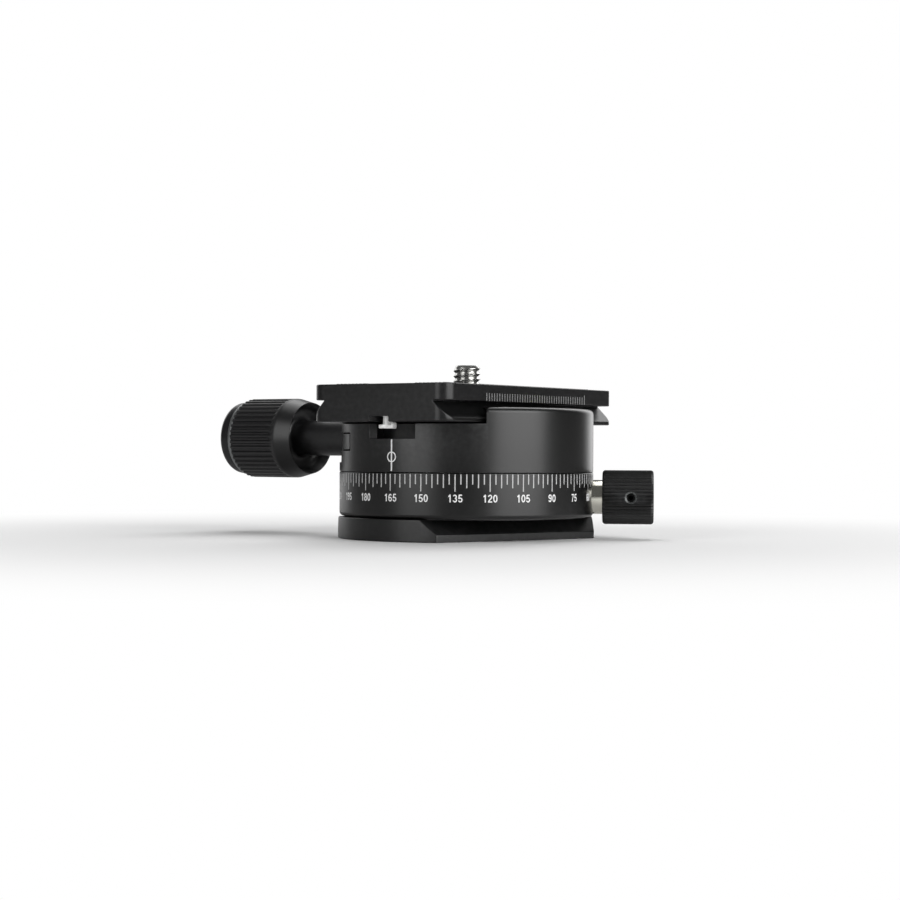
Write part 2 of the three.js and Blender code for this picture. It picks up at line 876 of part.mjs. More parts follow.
function movingJaw() {
  const bottom = turntable_bottom + jaw_ledge_height + running_gap;
  const past = drum_radius * 2;
  const blank = drumBlank(moving_jaw_radius, bottom);
  const inboard = block(
    [-moving_jaw_inner, -past, bottom - cut_overrun],
    [past, past, drum_top + cut_overrun],
  );
  const tongue = (side) => {
    const bar = block(
      [
        -moving_jaw_inner - tongue_length,
        Math.min(side * tongue_inner, side * past),
        turntable_bottom + tongue_bottom,
      ],
      [
        -moving_jaw_inner + tongue_length,
        Math.max(side * tongue_inner, side * past),
        turntable_bottom + tongue_bottom + tongue_height,
      ],
    );
    const reach = rod(drum_radius - pan_gap, bottom, drum_top, drum_sides);
    const kept = rod(moving_jaw_radius, bottom, drum_top, drum_sides);
    const outboard = block([-past, -past, bottom], [-moving_jaw_inner, past, drum_top]);
    return join(
      overlapOf(cut(bar, outboard), reach),
      overlapOf(overlapOf(bar, outboard), kept),
    );
  };
  const spotface = clampBore(spotface_radius, spotface_distance, drum_radius + cut_overrun);
  const screw_hole = clampBore(
    clamp_bore_radius,
    groove_half - cut_overrun,
    drum_radius + cut_overrun,
  );
  return cut(
    join(cut(blank, inboard), lip(-1, plate_bottom), tongue(1), tongue(-1)),
    spotface,
    screw_hole,
    springBore(1, groove_half - cut_overrun, moving_jaw_inner + spring_jaw_depth),
    springBore(-1, groove_half - cut_overrun, moving_jaw_inner + spring_jaw_depth),
  );
}

function jawSpring(side) {
  const near = groove_half - spring_body_depth + running_gap;
  const far = groove_half + running_gap + spring_jaw_depth - running_gap;
  const outer = spring_diameter / 2;
  return tube(outer - spring_wire, outer, -far, -near, small_sides)
    .rotateY(Math.PI / 2)
    .translate(0, side * spring_offset, clamp_axis_height);
}

function jaw() {
  const washer = tube(
    clamp_bore_radius,
    thrust_washer_radius,
    0,
    thrust_washer_thickness,
    middle_sides,
  )
    .rotateY(-Math.PI / 2)
    .translate(-spotface_distance - running_gap, 0, clamp_axis_height);
  return group(
    piece("moving_jaw", movingJaw(), "black_anodised"),
    piece("clamp_thrust_washer", washer, "steel"),
    piece("jaw_spring_near", jawSpring(-1), "steel"),
    piece("jaw_spring_far", jawSpring(1), "steel"),
  );
}

// The knob's own pieces are turned about Z, with height zero on the pan axis, and laid along -X.
function clampKnob() {
  const stem = clamp_stem_diameter / 2;
  const stem_start = spotface_distance + running_gap * 2 + thrust_washer_thickness;
  const outer = clamp_knob_diameter / 2;
  const core = outer - clamp_rib_height - clamp_grip_wall - running_gap;
  const rim = clamp_knob_start + clamp_rim_radius;
  const set_screw_distance = clamp_band_end + set_screw_offset;
  const dish_floor = clamp_knob_start + clamp_dish_depth;
  const head_bore = clamp_screw_head_diameter / 2 + running_gap;
  const core_blank = turned(
    [
      [clamp_bore_radius, stem_start],
      [stem, stem_start],
      [stem, dish_floor - clamp_dish_root],
      [stem + clamp_dish_root, dish_floor],
      [outer - clamp_dish_wall - clamp_dish_root, dish_floor - clamp_dish_root],
      [outer - clamp_dish_wall, rim],
      ...quarterRound(outer - clamp_rim_radius, rim, clamp_rim_radius, -90, 0),
      [outer, clamp_band_end],
      [core, clamp_band_end],
      [core, clamp_grip_end],
      [head_bore, clamp_grip_end],
      [head_bore, clamp_screw_seat],
      [clamp_bore_radius, clamp_screw_seat],
      [clamp_bore_radius, stem_start],
    ],
    middle_sides,
  );
  const set_hole = rod(set_screw_diameter / 2 + running_gap, 0, outer, small_sides)
    .rotateX(Math.PI / 2)
    .translate(0, 0, set_screw_distance);
  const grip = cut(
    raised(
      ribbedCircle(outer, clamp_rib_height, clamp_rib_count, flat_rib_shares),
      clamp_band_end + running_gap,
      clamp_grip_end,
    ),
    rod(core + running_gap, 0, clamp_grip_end + cut_overrun, middle_sides),
  );
  const cap_radius = outer - clamp_cap_inset;
  const cap_start = clamp_grip_end + running_gap;
  const cap_end = cap_start + clamp_cap_length;
  const cap = turned(
    [
      [0, cap_start],
      [cap_radius, cap_start],
      ...quarterRound(
        cap_radius - clamp_cap_round,
        cap_end - clamp_cap_round,
        clamp_cap_round,
        0,
        90,
      ),
      [0, cap_end],
    ],
    middle_sides,
  );
  const screw = capScrew(
    clamp_screw_diameter,
    clamp_screw_length,
    clamp_screw_head_diameter,
    clamp_screw_head_height,
    clamp_screw_socket,
    clamp_screw_socket_depth,
    middle_sides,
  ).translate(0, 0, clamp_screw_seat);
  const set_screw = cut(
    rod(
      set_screw_diameter / 2,
      clamp_bore_radius,
      core - running_gap,
      small_sides,
    ),
    hexagon(set_screw_socket, core - set_screw_socket_depth, core),
  )
    .rotateX(Math.PI / 2)
    .translate(0, 0, set_screw_distance);
  const made = group(
    piece("clamp_knob_core", cut(core_blank, set_hole), "black_anodised"),
    piece("clamp_knob_grip", grip, "black_matte"),
    piece("clamp_knob_cap", cap, "black_gloss"),
    piece("clamp_screw", screw, "steel"),
    piece("clamp_set_screw", set_screw, "dark_steel"),
  );
  made.position.z = clamp_axis_height;
  made.rotation.y = -Math.PI / 2;
  return made;
}

// The pan lock's pieces lie along X here, and the whole group is turned to the lock's direction.
function panLock() {
  const bushing_start = lock_spotface_distance - lock_bushing_length;
  const bushing = tube(
    lock_bushing_bore_radius,
    lock_bushing_radius,
    bushing_start,
    lock_spotface_distance - running_gap,
    middle_sides,
  ).rotateY(Math.PI / 2);
  const thread = lock_screw_diameter / 2;
  const shoulder_start = lock_spotface_distance + running_gap;
  const knob_end = lock_knob_start + lock_knob_length;
  const screw_end = knob_end - lock_knob_end_wall;
  const shoe_front = spindle_radius + running_gap;
  const shoe_end = bushing_start - running_gap;
  const screw = turned(
    [
      [0, bushing_start],
      [thread, bushing_start],
      [thread, shoulder_start],
      [lock_shoulder_radius, shoulder_start],
      [lock_shoulder_radius, lock_knob_start - running_gap],
      [thread, lock_knob_start - running_gap],
      [thread, screw_end - running_gap],
      [0, screw_end - running_gap],
    ],
    middle_sides,
  ).rotateY(Math.PI / 2);
  const outer = lock_knob_diameter / 2;
  const bounds = turned(
    [
      [0, lock_knob_start],
      ...quarterRound(
        outer - lock_knob_round,
        lock_knob_start + lock_knob_round,
        lock_knob_round,
        -90,
        0,
      ),
      ...quarterRound(outer - lock_knob_round, knob_end - lock_knob_round, lock_knob_round, 0, 90),
      [0, knob_end],
    ],
    middle_sides,
  );
  const ribbed = raised(
    ribbedCircle(outer, lock_rib_height, lock_rib_count, fine_rib_shares),
    lock_knob_start - cut_overrun,
    knob_end + cut_overrun,
  );
  const screw_room = rod(
    thread + running_gap,
    lock_knob_start - cut_overrun,
    screw_end,
    small_sides,
  );
  const grub_distance = lock_knob_start + grub_offset;
  const grub_room = rod(grub_diameter / 2 + running_gap, 0, outer + cut_overrun, small_sides)
    .rotateX(Math.PI / 2)
    .translate(0, 0, grub_distance);
  const knob = cut(overlapOf(bounds, ribbed), screw_room, grub_room).rotateY(Math.PI / 2);
  const grub_top = outer - grub_recess;
  const grub = cut(
    rod(grub_diameter / 2, thread + running_gap, grub_top, small_sides),
    hexagon(grub_socket, grub_top - grub_socket_depth, grub_top + cut_overrun),
  )
    .rotateX(Math.PI / 2)
    .translate(0, 0, grub_distance)
    .rotateY(Math.PI / 2);
  const shoe = cut(
    rodAlongX(shoe_radius, shoe_front - running_gap, shoe_end, middle_sides),
    rod(shoe_front, -shoe_radius * 2, shoe_radius * 2, bearing_sides),
  );
  const made = group(
    piece("lock_bushing", bushing, "brass"),
    piece("lock_screw", screw, "steel"),
    piece("lock_knob", knob, "black_anodised"),
    piece("lock_grub_screw", grub, "dark_steel"),
    piece("brake_shoe", shoe, "white_nylon"),
  );
  made.position.z = lock_axis_height;
  made.rotation.z = THREE.MathUtils.degToRad(lock_turn_deg);
  return made;
}

// A straight channel with round ends along Y.
function channel(width, half_travel, low, high) {
  const end = (side) =>
    rod(width / 2, low, high, middle_sides).translate(0, side * half_travel, 0);
  return join(
    block([-width / 2, -half_travel, low], [width / 2, half_travel, high]),
    end(1),
    end(-1),
  );
}

const padCentres = [-1, 1].map((side) => (side * (pad_inner + pad_outer)) / 2);

function quickReleasePlate() {
  const waist = plate_half - plate_slope_height;
  const section = (side) => [
    [side * plate_half, plate_bottom],
    [side * plate_half, slope_bottom],
    [side * waist, flange_bottom],
    [side * plate_half, flange_bottom],
    [side * plate_half, plate_top],
  ];
  const profile = [...section(1), ...section(-1).reverse()];
  const outline = raised(
    roundedRectangle(dovetail_width, plate_length, plate_corner_radius),
    plate_bottom - cut_overrun,
    plate_top + cut_overrun,
  );
  const blank = overlapOf(carried(profile, -plate_length, plate_length), outline);
  const notch_half = stop_head_radius + plate_notch_room;
  const notch_start = stop_distance - notch_half;
  const notch = (side) =>
    block(
      [
        -notch_half,
        Math.min(side * notch_start, side * plate_length),
        plate_bottom - cut_overrun,
      ],
      [
        notch_half,
        Math.max(side * notch_start, side * plate_length),
        plate_bottom + plate_notch_depth,
      ],
    );
  const neck_hole = (side) =>
    rod(
      stop_neck_diameter / 2 + running_gap,
      plate_bottom,
      plate_bottom + stop_length + running_gap,
      small_sides,
    ).translate(0, side * stop_distance, 0);
  const slot = camera_screw_diameter + running_gap;
  const recess = camera_head_diameter + running_gap * 4;
  const pad_room = padCentres.map((x) =>
    block(
      [x - pad_width / 2 - running_gap, -pad_length / 2 - running_gap, plate_top - pad_recess],
      [x + pad_width / 2 + running_gap, pad_length / 2 + running_gap, plate_top + cut_overrun],
    ),
  );
  return cut(
    blank,
    notch(1),
    notch(-1),
    neck_hole(1),
    neck_hole(-1),
    channel(slot + running_gap, camera_screw_travel, plate_bottom, plate_top + cut_overrun),
    channel(recess, camera_screw_travel, plate_bottom - cut_overrun, web_bottom),
    channel(
      clip_channel_radius * 2,
      camera_screw_travel,
      plate_top - clip_recess_depth,
      plate_top + cut_overrun,
    ),
    ...pad_room,
  );
}

function rubberPad(x) {
  const low = plate_top - pad_recess;
  const high = low + pad_thickness;
  const pad = raised(
    roundedRectangle(pad_width, pad_length, pad_groove_width),
    low,
    high,
  );
  const pitch = pad_width / (pad_groove_count + 1);
  const grooves = Array.from({ length: pad_groove_count }, (_, i) => {
    const middle = (i + 1) * pitch - pad_width / 2;
    return block(
      [middle - pad_groove_width / 2, -pad_length, high - pad_groove_depth],
      [middle + pad_groove_width / 2, pad_length, high + cut_overrun],
    );
  });
  return cut(pad, ...grooves).translate(x, 0, 0);
}

function stopScrew(side) {
  const head_top = plate_bottom - stop_drop;
  const head_bottom = head_top - stop_head_height;
  const neck = stop_neck_diameter / 2;
  const blank = turned(
    [
      [0, head_bottom],
      [stop_head_radius, head_bottom],
      [stop_head_radius, head_top],
      [neck, head_top],
      [neck, plate_bottom + stop_length],
      [0, plate_bottom + stop_length],
    ],
    small_sides,
  );
  const slot = block(
    [-stop_slot_width / 2, -stop_head_diameter, head_bottom - cut_overrun],
    [stop_slot_width / 2, stop_head_diameter, head_bottom + stop_slot_depth],
  );
  return cut(blank, slot).translate(0, side * stop_distance, 0);
}

function plate() {
  return group(
    piece("quick_release_plate", quickReleasePlate(), "black_anodised"),
    piece("rubber_pad_left", rubberPad(padCentres[0]), "rubber"),
    piece("rubber_pad_right", rubberPad(padCentres[1]), "rubber"),
    piece("stop_screw_near", stopScrew(-1), "chrome"),
    piece("stop_screw_far", stopScrew(1), "chrome"),
  );
}

function cameraScrew() {
  const shank = camera_screw_diameter / 2;
  const head = camera_head_diameter / 2;
  const head_top = web_bottom - screw_washer_thickness;
  const head_bottom = plate_bottom + camera_head_recess;
  const tip = plate_top + camera_screw_reach;
  const clip_low = plate_top - clip_recess_depth + running_gap / 2;
  const clip_high = clip_low + clip_thickness;
  const neck = shank - clip_groove_depth;
  const blank = turned(
    [
      [0, head_bottom],
      [head, head_bottom],
      [head, head_top],
      [shank, head_top],
      [shank, clip_low - running_gap / 2],
      [neck, clip_low - running_gap / 2],
      [neck, clip_high + running_gap / 2],
      [shank, clip_high + running_gap / 2],
      [shank, tip - clip_groove_depth],
      [neck, tip],
      [0, tip],
    ],
    middle_sides,
  );
  const coin_slot = block(
    [-camera_head_slot_width / 2, -camera_head_diameter, head_bottom - cut_overrun],
    [camera_head_slot_width / 2, camera_head_diameter, head_bottom + camera_head_slot_depth],
  );
  const washer = tube(
    shank + running_gap / 2,
    head,
    web_bottom - screw_washer_thickness,
    web_bottom,
    middle_sides,
  );
  const clip = cut(
    tube(neck + running_gap / 2, clip_diameter / 2, clip_low, clip_high, middle_sides),
    block(
      [0, -clip_opening_width / 2, clip_low - cut_overrun],
      [clip_diameter, clip_opening_width / 2, clip_high + cut_overrun],
    ),
  );
  return group(
    piece("camera_screw", cut(blank, coin_slot), "steel"),
    piece("screw_clip", clip, "dark_steel"),
    piece("screw_washer", washer, "white_nylon"),
  );
}

const panoramicHead = group(
  base(),
  panLock(),
  turntable(),
  jaw(),
  clampKnob(),
  plate(),
  cameraScrew(),
);

export default panoramicHead;
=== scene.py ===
"""Panoramic tripod head: its visible pieces, their finishes and a plain studio.

Sizes are in millimetres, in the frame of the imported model: +Z up along the pan axis, the
clamp's groove along Y and the clamp knob towards -X. Meshes become metres as they are made.
"""

import logging
import math
from dataclasses import dataclass, field, replace
from enum import Enum
from functools import cache
from typing import Any, Sequence

import bpy
import numpy as np
from mathutils import Matrix, Quaternion, Vector


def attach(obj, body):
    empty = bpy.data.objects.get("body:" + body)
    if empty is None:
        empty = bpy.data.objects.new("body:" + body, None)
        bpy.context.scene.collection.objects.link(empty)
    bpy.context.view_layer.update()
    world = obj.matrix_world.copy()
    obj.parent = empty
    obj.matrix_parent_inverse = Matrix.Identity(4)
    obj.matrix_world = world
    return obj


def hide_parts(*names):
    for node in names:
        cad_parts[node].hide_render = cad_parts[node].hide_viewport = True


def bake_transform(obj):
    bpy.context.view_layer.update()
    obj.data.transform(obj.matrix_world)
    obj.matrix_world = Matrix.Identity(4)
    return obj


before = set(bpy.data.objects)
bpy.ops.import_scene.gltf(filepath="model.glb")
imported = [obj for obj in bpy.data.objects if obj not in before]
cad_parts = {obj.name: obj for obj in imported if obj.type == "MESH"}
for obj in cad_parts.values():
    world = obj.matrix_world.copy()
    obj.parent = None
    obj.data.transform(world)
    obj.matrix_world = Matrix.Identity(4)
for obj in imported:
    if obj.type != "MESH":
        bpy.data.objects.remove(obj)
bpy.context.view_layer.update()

Array = np.ndarray
Colour = tuple[float, float, float]
Corners = Sequence[Sequence[float]]
Node = bpy.types.Node
Piece = bpy.types.Object
Point = tuple[float, float, float]
Socket = bpy.types.NodeSocket
Tree = bpy.types.NodeTree

MM = 0.001
GAP = 0.3  # Clearance in millimetres round a piece in its room.
PLAY = 0.15  # The same where the fit is close.
SMALL = 48  # Sides of small turned pieces.
FINE = 96  # Sides of larger ones.
WELD_DISTANCE = 0.004
BEVEL_DEGREES = 28
SHARP_DEGREES = 34
EDGE_GAIN = 14
THREAD_FLANK = 2.4  # Rise of a thread's flank, in depths per pitch.
THREAD_CREST = 0.1  # How far the flank starts below the crest, which leaves the crest flat.
AIM_HEIGHT = 0.02  # Where the lamps point, in metres on the pan axis.
WHITE = (1, 1, 1, 1)
log = logging.getLogger("tripod_head")


class Carving(Enum):
    """What a tool solid does to the blank it meets."""

    REMOVE = "DIFFERENCE"
    ADD = "UNION"
    KEEP = "INTERSECT"


class Side(Enum):
    """The two ends of the groove: near the dial's index, and far from it."""

    NEAR = -1
    FAR = 1


# Surfaces.


@dataclass
class Shell:
    """A surface as points in millimetres and blocks of face indices."""

    points: Array
    faces: list[Array]

    def moved(self, x: float = 0.0, y: float = 0.0, z: float = 0.0) -> "Shell":
        """The surface shifted by x, y and z."""
        return Shell(self.points + np.array([x, y, z]), self.faces)

    def turned(self, axis: str, degrees: float) -> "Shell":
        """The surface turned by the right-hand rule about the named axis."""
        c, s = math.cos(math.radians(degrees)), math.sin(math.radians(degrees))
        table = {
            "x": [[1, 0, 0], [0, c, -s], [0, s, c]],
            "y": [[c, 0, s], [0, 1, 0], [-s, 0, c]],
            "z": [[c, -s, 0], [s, c, 0], [0, 0, 1]],
        }
        return Shell(self.points @ np.array(table[axis]).T, self.faces)


Tool = tuple[Carving, Shell]


def joined(shells: Sequence[Shell]) -> Shell:
    """Several surfaces as one, with none of their points merged."""
    starts = np.cumsum([0] + [len(shell.points) for shell in shells])
    faces = [rows + start for shell, start in zip(shells, starts) for rows in shell.faces]
    return Shell(np.concatenate([shell.points for shell in shells]), faces)


def cuts(*shells: Shell) -> list[Tool]:
    """Tools that take each surface's room out of a blank."""
    return [(Carving.REMOVE, shell) for shell in shells]


def rounded(corners: Corners, closed: bool = True, steps: int = 6) -> Array:
    """Round the corners of a flat line.

    A corner with radius r between unit directions u and v to its neighbours becomes an arc
    about corner + (u + v) / |u + v| * r / sin(half angle), whose ends lie
    r / tan(half angle) along u and v.

    Args:
        corners: Pairs (a, b), or triples (a, b, radius).
        closed: Whether the last corner joins the first.
        steps: Segments of each arc.

    Returns:
        The points of the rounded line.
    """
    flat = np.array([c[:2] for c in corners], float)
    radii = [c[2] if len(c) > 2 else 0.0 for c in corners]
    out: list[Array] = []
    for i, (corner, radius) in enumerate(zip(flat, radii)):
        inside = closed or 0 < i < len(flat) - 1
        if radius <= 0 or not inside:
            out.append(corner[None])
            continue
        u = flat[i - 1] - corner
        v = flat[(i + 1) % len(flat)] - corner
        u, v = u / np.linalg.norm(u), v / np.linalg.norm(v)
        half = math.acos(max(-1.0, min(1.0, float(u @ v)))) / 2
        centre = corner + (u + v) / np.linalg.norm(u + v) * radius / math.sin(half)
        start = corner + u * radius / math.tan(half) - centre
        end = corner + v * radius / math.tan(half) - centre
        turn = math.atan2(start[0] * end[1] - start[1] * end[0], float(start @ end))
        angle = np.linspace(0, turn, steps + 1)
        cos, sin = np.cos(angle), np.sin(angle)
        arc = np.stack([start[0] * cos - start[1] * sin, start[0] * sin + start[1] * cos], 1)
        out.append(centre + arc)
    return np.concatenate(out)


def lathe(profile: Array, sides: int, relief: Array | None = None) -> Shell:
    """Turn a profile of (radius, height) about Z, outwards along the bottom first.

    Point (i, j) is (r cos a, r sin a, z) with a = 2 pi j / sides, z the profile's height i
    and r its radius i plus relief (i, j). A level end on the axis is one flat face, and a
    sloping one ends in a pole.

    Args:
        profile: Open, from axis to axis, or closed with its first point repeated.
        sides: Columns round the axis.
        relief: Added to the radius, one value for each profile row and column.

    Returns:
        The closed surface.
    """
    closed = bool(np.allclose(profile[0], profile[-1]))
    rows = profile[:-1] if closed else profile[1:-1]
    angle = np.arange(sides) * (2 * np.pi / sides)
    radius = np.repeat(rows[:, :1], sides, axis=1)
    if relief is not None:
        radius = radius + (relief[:-1] if closed else relief[1:-1])
    height = np.repeat(rows[:, 1:2], sides, axis=1)
    points = np.stack([radius * np.cos(angle), radius * np.sin(angle), height], 2)
    grid = np.arange(len(rows) * sides).reshape(len(rows), sides)
    low = grid if closed else grid[:-1]
    high = np.roll(grid, -1, axis=0) if closed else grid[1:]
    ahead = (np.roll(low, -1, axis=1), np.roll(high, -1, axis=1))
    faces = [np.stack([low, ahead[0], ahead[1], high], 2).reshape(-1, 4)]
    flat = points.reshape(-1, 3)
    if not closed:
        for ring, pole, level in (
            (grid[0][::-1], profile[0], profile[1]),
            (grid[-1], profile[-1], profile[-2]),
        ):
            if abs(pole[1] - level[1]) < 1e-9:
                faces.append(ring[None])
                continue
            tip = np.full(sides, len(flat))
            flat = np.concatenate([flat, [[0.0, 0.0, pole[1]]]])
            faces.append(np.stack([ring, np.roll(ring, -1), tip], 1))
    return Shell(flat, faces)


def prism(outline: Array, low: float, high: float) -> Shell:
    """An outline of (x, y), counter-clockwise, raised from height low to height high."""
    count = len(outline)
    ring = np.arange(count)
    bottom = np.column_stack([outline, np.full(count, low)])
    top = np.column_stack([outline, np.full(count, high)])
    ahead = np.roll(ring, -1)
    walls = np.stack([ring, ahead, ahead + count, ring + count], 1)
    return Shell(np.concatenate([bottom, top]), [walls, ring[::-1][None], (ring + count)[None]])


def turned_solid(corners: Corners, sides: int, steps: int = 6) -> Shell:
    """Turn (radius, height) corners, some with a rounding, that lead from axis to axis."""
    return lathe(rounded(corners, closed=False, steps=steps), sides)


def turned_ring(corners: Corners, sides: int, steps: int = 6) -> Shell:
    """Turn (radius, height) corners, some with a rounding, that close into a ring."""
    profile = rounded(corners, steps=steps)
    return lathe(np.concatenate([profile, profile[:1]]), sides)


def carried(section: Corners, low: float, high: float) -> Shell:
    """A section of (x, z), counter-clockwise seen from -Y, carried along Y from low to high."""
    return prism(np.asarray(section, float), -high, -low).turned("x", 90)


def block(x: Sequence[float], y: Sequence[float], z: Sequence[float], side: int = 1) -> Shell:
    """A box between limits of x, y and z, with y mirrored where side is -1."""
    near, far = sorted((side * y[0], side * y[1]))
    outline = np.array([[x[0], near], [x[1], near], [x[1], far], [x[0], far]])
    return prism(outline, *z)


def rod(radius: float, low: float, high: float, sides: int = 64) -> Shell:
    """A round bar about Z, as a tool for carving."""
    return turned_solid([(0, low), (radius, low), (radius, high), (0, high)], sides)


def along_clamp(shell: Shell) -> Shell:
    """Lay a surface turned about Z along -X, at the clamp screw's height."""
    return shell.turned("y", -90).moved(z=SIZES.clamp_height)


def hexagon(across_corners: float, low: float, high: float) -> Shell:
    """The room of a hexagon socket about Z."""
    return rod(across_corners / 2, low, high, 6)


def channel(width: float, half_travel: float, low: float, high: float) -> Shell:
    """A straight channel with round ends along Y: two half circles joined by straight walls."""
    angle = np.linspace(0, np.pi, 33)
    arc = np.stack([np.cos(angle), np.sin(angle)], 1) * width / 2
    outline = np.concatenate([arc + [0, half_travel], -arc - [0, half_travel]])
    return prism(outline, low, high)


def rounded_rectangle(width: float, length: float, near: float, far: float, steps: int) -> Array:
    """A rectangle centred on the origin, with one corner radius at -Y and another at +Y."""
    x, y = width / 2, length / 2
    corners = [(-x, -y, near), (x, -y, near), (x, y, far), (-x, y, far)]
    return rounded(corners, steps=steps)


def coil(radius: float, wire: float, start: float, end: float, turns: float) -> Shell:
    """A closed helical tube along Z.

    The centre line is (R cos t, R sin t, start + pitch t / 2 pi). The tube's circle at t lies
    in the plane of the radial direction and the upward direction square to the line.
    """
    steps_per_turn, sides = 28, 10
    rings = int(turns * steps_per_turn) + 1
    t = np.linspace(0, turns * 2 * np.pi, rings)
    rise = start + (end - start) * t / t[-1]
    centre = np.stack([radius * np.cos(t), radius * np.sin(t), rise], 1)
    outward = np.stack([np.cos(t), np.sin(t), np.zeros_like(t)], 1)
    along = np.gradient(centre, axis=0)
    along /= np.linalg.norm(along, axis=1, keepdims=True)
    upward = np.cross(outward, along)
    a = (np.arange(sides) * 2 * np.pi / sides)[None, :, None]
    tube = centre[:, None] + wire * (np.cos(a) * outward[:, None] + np.sin(a) * upward[:, None])
    grid = np.arange(rings * sides).reshape(rings, sides)
    ahead = np.roll(grid, -1, axis=1)
    walls = np.stack([grid[:-1], grid[1:], ahead[1:], ahead[:-1]], 2).reshape(-1, 4)
    return Shell(tube.reshape(-1, 3), [walls, grid[0][None], grid[-1][::-1][None]])


def thread_relief(heights: Array, sides: int, pitch: float, depth: float, low: float, high: float,
                  outward: float) -> Array:
    """Depth of a screw thread at each height and column.

    The thread's phase is height / pitch - angle / 2 pi, and its profile a triangle wave of
    that phase with flat crests and roots, faded out over half a pitch at the ends.

    Args:
        heights: Height of each profile row.
        sides: Columns round the axis.
        pitch: Height of one turn.
        depth: Depth from crest to root.
        low: Height where the thread starts.
        high: Height where it ends.
        outward: 1 where the roots lie outwards, as in a nut, and -1 on a bolt.

    Returns:
        What the thread adds to the radius, one row for each height.
    """
    turn = np.arange(sides)[None] / sides
    phase = (heights[:, None] / pitch - turn) % 1.0
    wave = np.clip(THREAD_FLANK * np.abs(phase - 0.5) - THREAD_CREST, 0, 1)
    ends = np.minimum(heights - low, high - heights) / (pitch / 2)
    return outward * depth * wave * np.clip(ends, 0, 1)[:, None]


def smooth_step(value: Array) -> Array:
    """The cubic 3 v^2 - 2 v^3 of a value held between 0 and 1."""
    v = np.clip(value, 0, 1)
    return v * v * (3 - 2 * v)


def wrapped_on_drum(flat: Array, degrees: Array | float, proud: float) -> Array:
    """Bend flat artwork (x, height, depth) round the drum.

    A point goes to the angle degrees + x / radius at the distance radius + depth, with the
    artwork's depth 0 set to -proud and depth 1 to +proud.
    """
    angle = np.radians(degrees) + flat[..., 0] / SIZES.drum
    distance = SIZES.drum + (flat[..., 2] * 2 - 1) * proud
    return np.stack([distance * np.cos(angle), distance * np.sin(angle), flat[..., 1]], -1)


def box_corners() -> Array:
    """Across (-1 or 1), up (0 or 1) and out (0 or 1) of a box's eight corners, as rows."""
    face = ((-1, 0), (1, 0), (1, 1), (-1, 1))
    return np.array([(across, up, out) for out in (0, 1) for across, up in face]).T


def boxes(points: Array) -> Shell:
    """Boxes in one surface, from eight corners of each in the order of box_corners."""
    faces = np.array([[4, 5, 6, 7], [3, 2, 1, 0], [0, 1, 5, 4], [1, 2, 6, 5], [2, 3, 7, 6],
                      [3, 0, 4, 7]])
    starts = np.arange(len(points)) * 8
    return Shell(points.reshape(-1, 3), [(faces + starts[:, None, None]).reshape(-1, 4)])


# From shells to pieces.


def mesh_from(name: str, shell: Shell) -> bpy.types.Mesh:
    """A Blender mesh in metres from a surface in millimetres."""
    mesh = bpy.data.meshes.new(name)
    rows = [row for part in shell.faces for row in part.tolist()]
    mesh.from_pydata((shell.points * MM).tolist(), [], rows)
    mesh.update()
    return mesh


def new_object(name: str, mesh: bpy.types.Mesh) -> Piece:
    """An object at the origin, linked to the scene."""
    made = bpy.data.objects.new(name, mesh)
    bpy.context.scene.collection.objects.link(made)
    return made


def bake_modifiers(piece: Piece) -> None:
    """Replace a piece's mesh by what its modifiers make of it."""
    bpy.context.view_layer.update()
    graph = bpy.context.evaluated_depsgraph_get()
    mesh = bpy.data.meshes.new_from_object(piece.evaluated_get(graph))
    piece.modifiers.clear()
    piece.data = mesh


def mark_edges(mesh: bpy.types.Mesh) -> None:
    """Store how sharply the surface turns at each vertex, for wear and painted edge highlights.

    The value is the edge gain times the largest difference of 1 and the cosine between a
    vertex's normal and the normals of its faces, held between 0 and 1.
    """
    count = len(mesh.vertices)
    loops = np.empty(len(mesh.loops), int)
    mesh.loops.foreach_get("vertex_index", loops)
    totals = np.empty(len(mesh.polygons), int)
    mesh.polygons.foreach_get("loop_total", totals)
    normals = np.empty(len(mesh.polygons) * 3)
    mesh.polygons.foreach_get("normal", normals)
    own = np.empty(count * 3)
    mesh.vertices.foreach_get("normal", own)
    per_loop = np.repeat(normals.reshape(-1, 3), totals, axis=0)
    turn = 1 - np.einsum("ij,ij->i", per_loop, own.reshape(-1, 3)[loops])
    largest = np.zeros(count)
    np.maximum.at(largest, loops, turn)
    store = mesh.attributes.new("edge_turn", "FLOAT", "POINT")
    store.data.foreach_set("value", np.clip(largest * EDGE_GAIN, 0, 1).astype(np.float32))


def smooth_piece(piece: Piece) -> None:
    """Shade a piece smooth, with normals weighted by area and its sharp edges kept."""
    mesh = piece.data
    mesh.polygons.foreach_set("use_smooth", np.ones(len(mesh.polygons), bool))
    mesh.set_sharp_from_angle(angle=math.radians(SHARP_DEGREES))
    piece.modifiers.new("weighted", "WEIGHTED_NORMAL").keep_sharp = True
    bake_modifiers(piece)
    mark_edges(piece.data)


